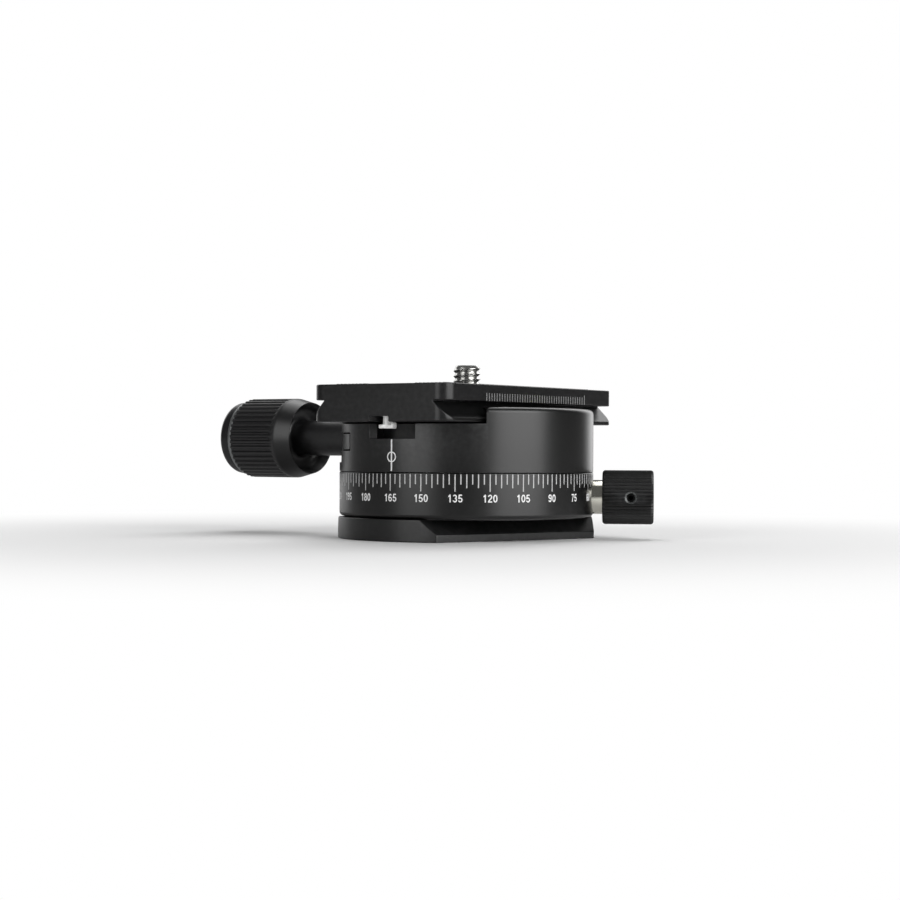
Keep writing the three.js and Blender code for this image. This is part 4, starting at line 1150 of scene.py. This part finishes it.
@dataclass
class Clamp:
    """Places and sizes of the bores that both jaws share."""

    bore: float = 2.8
    bore_end: float = 22.3
    spring_bore: float = 2.7
    spring_offset: float = 11.5
    tongue_inner: float = 17.476
    tongue_low: float = 20.75
    tongue_high: float = 24.35
    tongue_near: float = 15.3

    def bores(self, near: float, far: float, radius: float, offset: float = 0.0) -> Shell:
        """A bore along -X between two distances from the pan axis."""
        return along_clamp(rod(radius, near, far, 56)).moved(y=offset)


@dataclass
class Turntable:
    """The drum with its groove and fixed jaw, the bubble level and the jaw's springs."""

    clamp: Clamp = field(default_factory=Clamp)
    ledge: float = 17.75
    pocket_half: float = 6.75
    pocket_right: float = 6.0
    pocket_inner: float = 24.0
    pocket_floor: float = 23.25
    cheek_width: float = 1.3
    cheek_inner: float = 28.0
    lip_cut_start: float = 10.0
    skirt_radius: float = 28.6
    skirt_gap: float = 0.08
    spindle_room: float = 16.3
    spindle_room_top: float = 16.85
    screw_bore_start: float = 4.0
    screw_hole: float = 2.3
    screw_head_room: float = 3.8
    screw_hole_start: float = 10.0
    screw_head_depth: float = 4.4
    level_place: float = 23.875
    level_radius: float = 3.925
    level_wall: float = 0.6
    level_floor: float = 0.8
    level_top: float = 30.25
    level_bottom: float = 24.85
    lens_sunk: float = 0.65
    lens_thickness: float = 1.95
    lens_crown: float = 0.35
    circle_inner: float = 1.25
    circle_outer: float = 1.45
    bubble_rise: float = 0.45
    bubble_half: float = 0.32
    bubble_drift: tuple[float, float] = (0.15, 0.1)
    spring_near: float = 14.6
    spring_far: float = 24.3
    spring_radius: float = 1.95
    spring_wire: float = 0.35
    spring_turns: float = 6.0

    def tools(self) -> list[Tool]:
        """Everything that is cut out of the drum, in order."""
        s, c = SIZES, self.clamp
        past, top = s.past, s.drum_top + 8
        shells = [carried([
            (-past, self.ledge), (-s.groove_half, self.ledge), (-s.groove_half, s.groove_floor),
            (s.lip_low, s.groove_floor), (s.lip_low, s.slope_bottom), (s.lip_top, s.drum_top),
            (s.lip_top, top), (-past, top),
        ], -past, past)]
        for side in (-1, 1):
            shells += [
                block((self.lip_cut_start, s.groove_half), (s.lip_half_length, past),
                      (s.groove_floor, top), side),
                self.pocket(side, top),
                block((-past, 2 * GAP - c.tongue_near), (c.tongue_inner - GAP, past),
                      (c.tongue_low - GAP, c.tongue_high + GAP), side),
                c.bores(self.spring_near - GAP, c.bore_end, c.spring_bore, side * c.spring_offset),
            ]
        shells += [
            rod(self.spindle_room, s.table_bottom - 2, self.spindle_room_top, FINE),
            rod(self.level_radius + PLAY, self.level_bottom - GAP, top, FINE).moved(
                x=self.level_place),
            c.bores(self.screw_bore_start, c.bore_end, c.bore),
        ]
        start, seat = self.screw_hole_start, s.groove_floor - self.screw_head_depth
        screw = turned_solid([
            (0, start), (self.screw_hole, start), (self.screw_hole, seat),
            (self.screw_head_room, seat), (self.screw_head_room, top), (0, top),
        ], SMALL).moved(x=s.screw_circle)
        return cuts(*shells, *[screw.turned("z", angle) for angle in (0, 120, 240)])

    def pocket(self, side: int, top: float) -> Shell:
        """A stop pocket's room, one side wall leaning in behind the rim of the drum."""
        half, past = self.pocket_half, SIZES.past
        rim = math.sqrt(SIZES.drum**2 - half**2)
        outline = np.array([
            (-half, -past), (self.pocket_right, -past), (self.pocket_right, -self.pocket_inner),
            (-half, -self.pocket_inner), (-half, -self.cheek_inner),
            (self.cheek_width - half, -self.cheek_inner), (-half, -rim),
        ])
        room = prism(outline, self.pocket_floor, top)
        return room if side < 0 else room.turned("z", 180)

    def body(self) -> Piece:
        """The drum: a turned blank with a short skirt and a rounded top edge, then carved."""
        s = SIZES
        skirt = s.ring_top + self.skirt_gap
        blank = turned_solid([
            (0, s.table_bottom), (self.skirt_radius, s.table_bottom), (self.skirt_radius, skirt),
            (s.drum, skirt, 0.1), (s.drum, s.drum_top, s.drum_fillet), (0, s.drum_top),
        ], s.sides, 9)
        return carve("turntable_drum", blank, self.tools(), edge=0.12)

    def level_piece(self, name: str, shell: Shell, finish: Finish, *replaced: str) -> None:
        """Put one turned piece of the level at its place in the drum, and dress it."""
        piece = plain(name, shell.moved(x=self.level_place))
        dress(piece, finish, "turntable", *replaced)

    def level(self) -> None:
        """Round bubble level: cup, liquid, lens, bubble and the ring that frames it."""
        top, bottom, outer = self.level_top, self.level_bottom, self.level_radius
        inner, floor = outer - self.level_wall, bottom + self.level_floor
        inside = inner - PLAY
        lens_top = top - self.lens_sunk
        low = lens_top - self.lens_thickness
        self.level_piece("level_housing", turned_solid([
            (0, bottom), (outer, bottom, 0.2), (outer, top, 0.15), (inner, top, 0.15),
            (inner, floor), (0, floor),
        ], FINE, 3), BRASS, "level_cup")
        self.level_piece("level_liquid_disc", turned_solid([
            (0, floor), (inside, floor), (inside, low - 0.02), (0, low - 0.02),
        ], FINE), FLUID, "level_fluid")
        arc = np.linspace(inside, 0, 14)
        crown = lens_top - self.lens_crown + self.lens_crown * (1 - (arc / inside) ** 2)
        dome = np.concatenate([[[0, low], [inside, low]], np.stack([arc, crown], 1)])
        self.level_piece("level_window", lathe(dome, FINE), LENS, "level_lens")
        self.level_piece("level_ring", turned_ring([
            (self.circle_inner, low + 0.02), (self.circle_outer, low + 0.02),
            (self.circle_outer, low + 0.08), (self.circle_inner, low + 0.08),
        ], 64), MARK_BLACK)
        angle = np.linspace(-np.pi / 2, np.pi / 2, 13)
        rise = low + self.bubble_rise + self.bubble_half * np.sin(angle)
        bubble = np.stack([np.cos(angle), rise], 1)
        bubble[0, 0] = bubble[-1, 0] = 0
        self.level_piece("level_air_bubble", lathe(bubble, SMALL).moved(*self.bubble_drift),
                         BUBBLE)

    def springs(self) -> None:
        """The two springs that open the jaw, each a coil from turntable to jaw, riding on the
        turntable.
        """
        wire, near, far = self.spring_wire, self.spring_near, self.spring_far
        for side in Side:
            name, offset = side.name.lower(), side.value * self.clamp.spring_offset
            shell = coil(self.spring_radius, wire, near + wire, far - wire, self.spring_turns)
            piece = plain(f"opening_spring_{name}", along_clamp(shell).moved(y=offset))
            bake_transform(piece)
            dress(piece, CLAMP_STEEL, "turntable", f"jaw_spring_{name}")

    def build(self) -> None:
        """Make the turntable's pieces and dress its hidden nodes."""
        dress(self.body(), ANODISED, "turntable", "turntable_body")
        self.level()
        self.springs()
        dress_nodes(STEEL, "spindle", "spindle_retainer")
        dress_nodes(NYLON, "lower_glide_washer")
        dress_nodes(DARK_STEEL, *[f"{kind}_screw_{n}" for kind in ("retainer", "turntable")
                                  for n in (1, 2, 3)])


@dataclass
class Jaw:
    """The moving jaw with its two tongues, and the washer that the knob turns on."""

    clamp: Clamp = field(default_factory=Clamp)
    radius: float = 29.4
    inner: float = 20.6
    bottom: float = 18.05
    reach: float = 29.75
    spotface: float = 28.6
    spotface_radius: float = 5.7
    spotface_end: float = 32.0
    bore_start: float = 18.3
    spring_end: float = 24.6
    washer_radius: float = 5.2
    washer_thickness: float = 0.9

    def tongue(self, side: Side) -> Shell:
        """A tongue's outline follows the drum's side inboard and the jaw's side outboard."""
        c, jaw_side = self.clamp, self.radius - 0.1
        end = 0.05 - math.sqrt(jaw_side**2 - c.tongue_inner**2)
        inboard = np.linspace(-c.tongue_near, -self.inner, 12)
        outboard = np.linspace(-self.inner, end, 8)
        outline = np.concatenate([
            [(end, c.tongue_inner), (-c.tongue_near, c.tongue_inner)],
            np.stack([inboard, np.sqrt(self.reach**2 - inboard**2)], 1),
            np.stack([outboard, np.sqrt(jaw_side**2 - outboard**2)], 1),
        ])
        shell = prism(outline, c.tongue_low, c.tongue_high)
        if side is Side.FAR:
            return shell
        return Shell(shell.points * np.array([1, -1, 1]), [rows[:, ::-1] for rows in shell.faces])

    def body(self) -> Piece:
        """A turned blank cut off at its inner face, with an undercut lip and two tongues."""
        s, c = SIZES, self.clamp
        blank = turned_solid([
            (0, self.bottom), (self.radius, self.bottom, 0.15),
            (self.radius, s.drum_top, s.drum_fillet), (0, s.drum_top),
        ], s.sides, 9)
        past, top = s.past, s.drum_top + 8
        across = carried([
            (-self.inner, self.bottom - 3), (past, self.bottom - 3), (past, top),
            (-s.lip_top, top), (-s.lip_top, s.drum_top), (-s.lip_low, s.slope_bottom),
            (-s.lip_low, s.plate_bottom), (-self.inner, s.plate_bottom),
        ], -past, past)
        ends = [block((-self.inner, past), (s.lip_half_length, past), (s.groove_floor - 4, top),
                      side.value) for side in Side]
        tools = cuts(across, *ends) + [(Carving.ADD, self.tongue(side)) for side in Side]
        tools += cuts(
            c.bores(self.spotface, self.spotface_end, self.spotface_radius),
            c.bores(self.bore_start, self.spotface_end, c.bore),
            *[c.bores(self.bore_start, self.spring_end, c.spring_bore,
                      side.value * c.spring_offset) for side in Side])
        return carve("clamp_jaw", blank, tools, edge=0.12)

    def washer(self) -> Piece:
        """Steel washer between the jaw's spot face and the knob's stem."""
        bore, near = self.clamp.bore, self.spotface + GAP
        far = near + self.washer_thickness
        ring = turned_ring([(bore, near), (self.washer_radius, near, 0.12),
                            (self.washer_radius, far, 0.12), (bore, far, 0.1)], FINE, 3)
        return plain("thrust_washer", along_clamp(ring))

    def build(self) -> None:
        """Make the jaw's pieces."""
        dress(self.body(), ANODISED, "jaw", "moving_jaw")
        dress(self.washer(), CLAMP_STEEL, "jaw", "clamp_thrust_washer")


@dataclass
class ClampKnob:
    """The clamp's knob: dished core, ribbed grip and cap, along the clamp screw."""

    bore: float = 2.8
    stem_radius: float = 4.35
    stem_start: float = 30.1
    start: float = 47.0
    radius: float = 9.9
    band_end: float = 51.5
    core_radius: float = 8.6
    grip_end: float = 65.45
    head_room: float = 4.55
    head_seat: float = 61.0
    rim_radius: float = 8.87
    cone_end: float = 51.1
    dish_floor: float = 50.4
    dish_wall: float = 7.0
    ribs: int = 43
    rib_height: float = 0.52
    cap_radius: float = 9.0
    cap_length: float = 3.6
    collar_radius: float = 9.45
    collar_inner: float = 7.5
    collar_length: float = 1.0

    def core(self) -> Piece:
        """Stem, conical dish and a smooth band that narrows to the rim, turned in one."""
        return plain("knob_core", along_clamp(turned_ring([
            (self.bore, self.stem_start), (self.stem_radius, self.stem_start, 0.3),
            (self.stem_radius, self.dish_floor, 1.0), (self.dish_wall, self.dish_floor, 2.6),
            (self.rim_radius - 0.1, self.start), (self.rim_radius, self.start, 0.05),
            (self.radius, self.cone_end, 3.0), (self.radius, self.band_end),
            (self.core_radius, self.band_end),
            (self.core_radius, self.grip_end), (self.head_room, self.grip_end),
            (self.head_room, self.head_seat), (self.bore, self.head_seat),
        ], 192, 8)))

    def grip(self) -> Piece:
        """Ribbed ring: over each pitch the radius has a flat crest and a rounded valley.

        With u the share of a pitch, the crest is where |u - 1/2| is under 0.14, the valley
        where it is over 0.36, and a smooth step joins them. The valleys run out towards the
        band over 1.4 mm.
        """
        start, end, outer = self.band_end, self.grip_end, self.radius
        inner = self.core_radius + GAP
        steps = np.concatenate([np.linspace(start, start + 1.8, 10),
                                np.linspace(end - 0.6, end - 0.2, 4)])
        profile = np.concatenate([
            [(inner, start)], np.stack([np.full(len(steps), outer), steps], 1),
            [(outer - 0.04, end - 0.12), (outer - 0.18, end), (inner, end), (inner, start)],
        ])
        sides = self.ribs * 16
        u = (np.arange(sides) * self.ribs / sides) % 1.0
        valley = smooth_step((np.abs(u - 0.5) - 0.14) / 0.22)
        depth = smooth_step((profile[:, 1] - start - 0.2) / 1.4)
        relief = -self.rib_height * depth[:, None] * valley[None]
        floor = inner + 0.06 - profile[:, :1]
        relief = np.where(profile[:, :1] > inner + 1e-6, np.maximum(relief, floor), relief)
        return plain("knob_grip", along_clamp(lathe(profile, sides, relief)))

    def cap(self) -> Piece:
        """Cap with a rounded edge and a slightly crowned end."""
        start = self.grip_end + self.collar_length + 0.05
        end = start + self.cap_length
        return plain("knob_cap", along_clamp(turned_solid([
            (0, start), (self.cap_radius, start, 0.15), (self.cap_radius, end - 0.25, 1.6),
            (0, end),
        ], 192, 10)))

    def collar(self) -> Piece:
        """Narrow bare ring between the grip and the cap."""
        inner, outer, start = self.collar_inner, self.collar_radius, self.grip_end + 0.03
        end = start + self.collar_length - 0.03
        return plain("knob_collar", along_clamp(turned_ring([
            (inner, start), (outer, start, 0.08), (outer, end, 0.25), (inner, end),
        ], 192, 4)))

    def build(self) -> None:
        """Make the knob's pieces and dress its hidden nodes."""
        dress(self.core(), KNOB_BLACK, "clamp_knob", "clamp_knob_core")
        dress(self.grip(), GRIP_BLACK, "clamp_knob", "clamp_knob_grip")
        dress(self.cap(), CAP_BLACK, "clamp_knob", "clamp_knob_cap")
        dress(self.collar(), RIM_STEEL, "clamp_knob")
        dress_nodes(CLAMP_STEEL, "clamp_screw")
        dress_nodes(DARK_STEEL, "clamp_set_screw")


@dataclass
class QuickReleasePlate:
    """The dovetail plate with its pads, stop screws and millimetre scale."""

    half_width: float = 19.0
    length: float = 71.0
    near_corner: float = 3.4
    far_corner: float = 1.7
    waist: float = 15.0
    flange_bottom: float = 31.95
    scale_side_bottom: float = 31.65
    web_bottom: float = 32.5
    slot_width: float = 6.95
    recess_width: float = 14.2
    clip_width: float = 9.6
    clip_floor: float = 34.35
    travel: float = 8.0
    stop_place: float = 31.5
    stop_turn: float = 34.2
    stop_head: float = 2.0
    stop_neck: float = 1.1
    stop_shank: float = 1.05
    stop_hole: float = 1.3
    stop_low: float = 25.5
    stop_seat: float = 26.3
    stop_high: float = 26.95
    stop_hole_top: float = 31.9
    stop_shank_top: float = 31.6
    stop_lug: float = 0.75
    stop_slot: tuple[float, float] = (0.3, 1.4)
    stop_slot_depth: float = 0.45
    notch_short: float = 2.25
    notch_long: float = 2.95
    notch_top: float = 28.25
    pad_place: float = 11.0
    pad_width: float = 8.6
    pad_length: float = 62.0
    pad_floor: float = 34.75
    pad_top: float = 35.75
    pad_corner: float = 0.8
    pad_grooves: int = 7
    groove_half: float = 0.4
    groove_depth: float = 0.35
    scale_marks: int = 41
    mark_low: float = 31.8
    mark_height: float = 1.75
    last_mark_height: float = 2.25
    mark_width: float = 0.25
    mark_pitch: float = 1.06
    mark_shift: float = 1.2
    mark_proud: float = 0.02

    def body(self) -> Piece:
        """A dovetail section carried along Y, kept inside a rounded outline, then carved."""
        s, wide, waist = SIZES, self.half_width, self.waist
        low, high = self.scale_side_bottom, self.flange_bottom
        blank = carried([
            (wide, s.plate_bottom), (wide, s.slope_bottom), (waist, low), (wide, low),
            (wide, s.plate_top), (-wide, s.plate_top), (-wide, high), (-waist, high),
            (-wide, s.slope_bottom), (-wide, s.plate_bottom),
        ], -self.length, self.length)
        outline = rounded_rectangle(wide * 2, self.length, self.near_corner, self.far_corner, 14)
        below, top = s.plate_bottom - 2, s.plate_top + 3
        shells = [
            channel(self.recess_width, self.travel, below, self.web_bottom),
            channel(self.slot_width, self.travel, s.plate_bottom, top),
            channel(self.clip_width, self.travel, self.clip_floor, top),
        ]
        half, long_half = self.pad_width / 2 + GAP, self.pad_length / 2 + GAP
        for side in (-1, 1):
            x = side * self.pad_place
            shells += [
                block(sorted((side * self.notch_short, -side * self.notch_long)),
                      (self.stop_place - self.notch_short, self.length),
                      (below, self.notch_top), side),
                rod(self.stop_hole, s.plate_bottom, self.stop_hole_top, 32).moved(
                    y=side * self.stop_place),
                block((x - half, x + half), (-long_half, long_half), (self.pad_floor, top)),
            ]
        tools = [(Carving.KEEP, prism(outline, below, top))] + cuts(*shells)
        return carve("sliding_plate", blank, tools, edge=0.28, segments=3)

    def pad(self, side: int, name: str) -> Piece:
        """Rubber pad with lengthwise grooves of half-round section."""
        corner, half = self.pad_corner, self.groove_half
        outline = rounded_rectangle(self.pad_width, self.pad_length, corner, corner, 5)
        x = side * self.pad_place
        angle = np.linspace(np.pi, 2 * np.pi, 11)
        groove = np.concatenate([
            np.stack([half * np.cos(angle), self.groove_depth * np.sin(angle)], 1),
            [(half, 1.0), (-half, 1.0)],
        ])
        middles = [(number + 1) * self.pad_width / (self.pad_grooves + 1) - self.pad_width / 2
                   for number in range(self.pad_grooves)]
        tools = cuts(*[carried(groove + [middle, self.pad_top], -self.pad_length,
                               self.pad_length).moved(x=x) for middle in middles])
        blank = prism(outline, self.pad_floor, self.pad_top).moved(x=x)
        return carve(f"grip_pad_{name}", blank, tools, edge=0.05, segments=1)

    def stop(self, side: Side) -> Piece:
        """Bright stop screw: a head with a lug on one side of its shank, and a driver's slot."""
        low, high, seat = self.stop_low, self.stop_high, self.stop_seat
        blank = turned_solid([
            (0, low), (self.stop_head, low, 0.3), (self.stop_head, high, 0.35),
            (self.stop_neck, high, 0.2), (self.stop_neck, seat), (0, seat),
        ], 64, 5)
        across, along = self.stop_slot
        steps = [
            (Carving.REMOVE, block((-3, self.stop_lug), (-3, 3), (seat + 0.05, high + 1))),
            (Carving.ADD, rod(self.stop_shank, seat - 0.3, self.stop_shank_top)),
            (Carving.REMOVE, block((-across, across), (-along, along),
                                   (low - 2, low + self.stop_slot_depth))),
        ]
        turn = self.stop_turn if side is Side.NEAR else self.stop_turn + 180
        place = side.value * self.stop_place
        tools = [(action, shell.turned("z", turn).moved(y=place)) for action, shell in steps]
        return carve(f"stop_pin_{side.name.lower()}", blank.moved(y=place), tools, edge=0.06)

    def scale(self) -> Shell:
        """Scale marks on the plate's side: thin boxes, the last one longer."""
        number = np.arange(self.scale_marks) - self.scale_marks // 2
        height = np.full((len(number), 1), self.mark_height)
        height[-1] = self.last_mark_height
        middle = (number * self.mark_pitch + self.mark_shift)[:, None]
        across, up, out = box_corners()
        return boxes(np.stack(np.broadcast_arrays(
            self.half_width + (out * 2 - 1) * self.mark_proud,
            middle + across * self.mark_width / 2, self.mark_low + up * height), 2))

    def build(self) -> None:
        """Make the plate's pieces."""
        dress(self.body(), PLATE_BLACK, "plate", "quick_release_plate")
        for side, name in ((-1, "left"), (1, "right")):
            dress(self.pad(side, name), RUBBER, "plate", f"rubber_pad_{name}")
        for side in Side:
            # The stop screws' near-white colour is a painted reflection of bright chrome.
            dress(self.stop(side), PAINTED_BRIGHT_CHROME, "plate", f"stop_screw_{side.name.lower()}")
        dress(plain("plate_scale", self.scale()), SCALE_PAINT, "plate")


@dataclass
class CameraScrew:
    """The captive camera screw with its washer and clip, in the plate's slot."""

    radius: float = 3.175
    head: float = 6.5
    head_bottom: float = 27.5
    head_top: float = 31.9
    clip_low: float = 34.35
    clip_high: float = 35.15
    clip_radius: float = 4.5
    neck: float = 2.575
    tip: float = 40.75
    pitch: float = 1.27
    depth: float = 0.5
    slot_half: float = 0.8
    slot_depth: float = 1.8
    washer_thickness: float = 0.55
    opening_half: float = 1.3

    def screw(self) -> Piece:
        """Round head with a coin slot, and a threaded shank with a groove for the clip."""
        head = rounded([
            (0, self.head_bottom), (self.head, self.head_bottom, 0.4),
            (self.head, self.head_top, 0.3), (self.radius, self.head_top),
        ], closed=False, steps=4)
        shank = np.array([(self.radius, self.clip_low), (self.neck, self.clip_low),
                          (self.neck, self.clip_high), (self.radius, self.clip_high)])
        rows = np.linspace(self.clip_high + PLAY, self.tip - 0.65, 56)
        thread = np.stack([np.full(len(rows), self.radius), rows], 1)
        end = np.array([(self.neck + 0.05, self.tip - 0.05), (self.neck - 0.2, self.tip),
                        (0, self.tip)])
        profile = np.concatenate([head, shank, thread, end])
        relief = thread_relief(profile[:, 1], 80, self.pitch, self.depth, self.clip_high + 0.1,
                               self.tip - 0.3, -1.0)
        relief[: len(head) + len(shank)] = 0
        relief[-3:] = 0
        slot = block((-self.slot_half, self.slot_half), (-2 * self.head, 2 * self.head),
                     (self.head_bottom - 2, self.head_bottom + self.slot_depth))
        return carve("mounting_screw", lathe(profile, 80, relief), cuts(slot), edge=0.0)

    def washer(self) -> Piece:
        """Thin slip washer between the screw's head and the plate, with play above it."""
        inner, low = self.radius + PLAY, self.head_top
        top = low + self.washer_thickness
        return plain("slip_washer", turned_ring([
            (inner, low), (self.head, low, 0.1), (self.head, top, 0.1), (inner, top),
        ], FINE, 3))

    def clip(self) -> Piece:
        """Spring clip: a flat ring, open over a short arc."""
        inner, outer = self.neck + PLAY, self.clip_radius
        low, high = self.clip_low + PLAY, self.clip_high - PLAY
        ring = turned_ring([(inner, low), (outer, low), (outer, high), (inner, high)], FINE)
        opening = block((0, 2 * outer), (-self.opening_half, self.opening_half),
                        (low - 2, high + 2))
        return carve("retaining_clip", ring, cuts(opening), edge=0.05, segments=1)

    def build(self) -> None:
        """Make the camera screw's pieces."""
        dress(self.screw(), STEEL, "camera_screw", "camera_screw")
        dress(self.clip(), DARK_STEEL, "camera_screw", "screw_clip")
        dress(self.washer(), NYLON, "screw_carriage", "screw_washer")


# Studio.


@dataclass(frozen=True)
class SoftBox:
    """A soft area lamp round the head.

    Attributes:
        name: The lamp's name.
        bearing: Direction from the head, in degrees to the right of the camera.
        height: Height of its middle in metres.
        distance: Level distance from the pan axis in metres.
        width: Width in metres.
        tall: Height of its face in metres.
        radiance: Brightness of its face.
    """

    name: str
    bearing: float
    height: float
    distance: float
    width: float
    tall: float
    radiance: float

    def build(self, camera_degrees: float) -> None:
        """Place the lamp, facing the head. Its power is pi times its area times its radiance."""
        angle = math.radians(camera_degrees + self.bearing)
        place = Vector((self.distance * math.cos(angle), self.distance * math.sin(angle),
                        self.height))
        lamp = bpy.data.lights.new(self.name, "AREA")
        lamp.shape, lamp.size, lamp.size_y = "RECTANGLE", self.width, self.tall
        lamp.energy = math.pi * self.width * self.tall * self.radiance
        holder = bpy.data.objects.new(self.name, lamp)
        holder.location = place
        facing = Vector((0, 0, AIM_HEIGHT)) - place
        holder.rotation_euler = facing.to_track_quat("-Z", "Y").to_euler()
        holder.visible_camera = False
        bpy.context.scene.collection.objects.link(holder)


@dataclass
class Studio:
    """Pale floor, white surroundings, soft lamps and the photograph's camera."""

    camera_place: Point = (0.2715, -0.3995, 0.02075)
    aim_left: float = 0.4637
    roll: float = 0.29
    lens: float = 81.5
    sensor: float = 36.0
    camera_bearing: float = -55.8
    ambient: float = 0.02
    floor_grey: float = 0.93
    # Painted reflection: how much dimmer the floor looks in metal away from a place beside the
    # lock.
    dimmed_share: float = 0.5
    mirrored_share: float = 0.08
    # Place and reach of that painted reflection.
    shine_place: Point = (0.034, -0.008, 0.0)
    shine_reach: tuple[float, float] = (0.026, 0.055)
    white_reach: tuple[float, float] = (0.06, 0.22)
    floor_radius: float = 3.0
    lamps: tuple[SoftBox, ...] = (
        SoftBox("soft_box_right", 47.5, 0.16, 0.55, 0.52, 0.55, 4.0),
        SoftBox("soft_box_left", -45, 0.16, 0.55, 0.33, 0.55, 2.3),
        SoftBox("rim_left", -145, 0.16, 0.55, 0.34, 0.50, 1.3),
        SoftBox("rim_right", 150, 0.16, 0.55, 0.24, 0.50, 2.0),
        SoftBox("overhead", 180, 0.72, 0.22, 0.55, 0.55, 1.6),
        SoftBox("overhead_back", 170, 0.42, 0.38, 0.45, 0.22, 2.6),
    )

    def world(self) -> None:
        """White to the camera and through glass, dimmer in metal and where it lights the head."""
        world = bpy.data.worlds.new("studio")
        bpy.context.scene.world = world
        world.use_nodes = True
        tree = world.node_tree
        tree.nodes.clear()
        dim, white = [add_node(tree, "Background", {"Color": WHITE, "Strength": strength})
                      for strength in (self.ambient, 1.0)]
        self.mixed_output(tree, "OutputWorld", self.seen(tree), dim, white)

    @staticmethod
    def mixed_output(tree: Tree, kind: str, share: Socket, first: Node, second: Node) -> None:
        """Mix two shaders, with a share of the second, and send the mix to an output node."""
        mix = add_node(tree, "MixShader", {0: share, 1: first.outputs[0], 2: second.outputs[0]})
        add_node(tree, kind, {0: mix.outputs[0]})

    def seen(self, tree: Tree) -> Socket:
        """1 for camera and transmission rays, and the mirrored share for glossy rays."""
        path = add_node(tree, "LightPath", {})
        glossy = maths(tree, "MULTIPLY", path.outputs["Is Glossy Ray"], self.mirrored_share)
        first = maths(tree, "MAXIMUM", path.outputs["Is Camera Ray"], glossy)
        return maths(tree, "MAXIMUM", first, path.outputs["Is Transmission Ray"])

    @staticmethod
    def away_from(tree: Tree, place: Point, reach: tuple[float, float], most: float) -> Socket:
        """A smooth step of the distance from a place, from 0 up to the most over a reach."""
        distance = add_node(tree, "VectorMath", {0: object_place(tree), 1: place},
                            operation="DISTANCE")
        inputs = {"Value": distance.outputs["Value"], "From Min": reach[0], "From Max": reach[1],
                  "To Min": 0.0, "To Max": most}
        return add_node(tree, "MapRange", inputs, interpolation_type="SMOOTHSTEP").outputs["Result"]

    def floor_material(self) -> bpy.types.Material:
        """Matt pale floor that turns into the white surroundings away from the head.

        The share of white is a smooth step of the distance from the pan axis, for rays that
        see the floor directly, and less of it for metal. For glossy rays alone the floor's
        grey carries a painted reflection: mirrored in the head it is pale beside the lock and
        dimmed to half as pale elsewhere, by a smooth step of the distance from a place there.
        """
        made = bpy.data.materials.new("pale_floor")
        made.use_nodes = True
        tree = made.node_tree
        tree.nodes.clear()
        white = add_node(tree, "Emission", {"Strength": 1.0})
        # Painted reflection: for glossy rays alone, the floor is dimmed away from a place beside
        # the lock.
        dim = self.away_from(tree, self.shine_place, self.shine_reach, self.dimmed_share)
        glossy = add_node(tree, "LightPath", {}).outputs["Is Glossy Ray"]
        grey = maths(tree, "MULTIPLY_ADD", maths(tree, "MULTIPLY", glossy, dim),
                     -self.floor_grey, self.floor_grey)
        matt = add_node(tree, "BsdfDiffuse", {"Color": grey})
        share = self.away_from(tree, (0, 0, 0), self.white_reach, 1.0)
        factor = maths(tree, "MULTIPLY", share, self.seen(tree))
        self.mixed_output(tree, "OutputMaterial", factor, matt, white)
        return made

    def floor(self) -> None:
        """A round flat floor under the foot, as a thin turned disc about the pan axis."""
        edge = self.floor_radius / MM
        profile = np.array([(0, -2.0), (edge, -2.0), (edge, -0.02), (0, -0.02)])
        floor = new_object("floor", mesh_from("floor", lathe(profile, 128)))
        floor.data.materials.append(self.floor_material())

    def camera(self) -> None:
        """The camera at the photograph's angle, turned a little to the left and rolled."""
        data = bpy.data.cameras.new("camera")
        data.lens, data.sensor_width, data.sensor_fit = self.lens, self.sensor, "HORIZONTAL"
        data.clip_start, data.clip_end = 0.01, 20.0
        holder = bpy.data.objects.new("camera", data)
        place = Vector(self.camera_place)
        direction = Vector((-place.x, -place.y, 0)).normalized()
        angle = math.atan2(direction.y, direction.x) + math.radians(self.aim_left)
        forward = Vector((math.cos(angle), math.sin(angle), 0))
        holder.location = place
        level = forward.to_track_quat("-Z", "Y")
        holder.rotation_euler = (Quaternion(forward, math.radians(-self.roll)) @ level).to_euler()
        bpy.context.scene.collection.objects.link(holder)
        bpy.context.scene.camera = holder

    def build(self) -> None:
        """Make the studio, with the plain view transform."""
        bpy.context.scene.view_settings.view_transform = "Standard"
        self.world()
        self.floor()
        self.camera()
        for lamp in self.lamps:
            lamp.build(self.camera_bearing)
        log.info("studio with %d lamps", len(self.lamps))


def main() -> None:
    """Build the studio and every sub-assembly in order."""
    logging.basicConfig(level=logging.INFO, format="%(name)s: %(message)s")
    Studio().build()
    lock = PanLock()
    Base().build(lock.bores())
    lock.build()
    Turntable().build()
    DialMarks().build()
    Jaw().build()
    ClampKnob().build()
    QuickReleasePlate().build()
    CameraScrew().build()


if __name__ == "__main__":
    main()
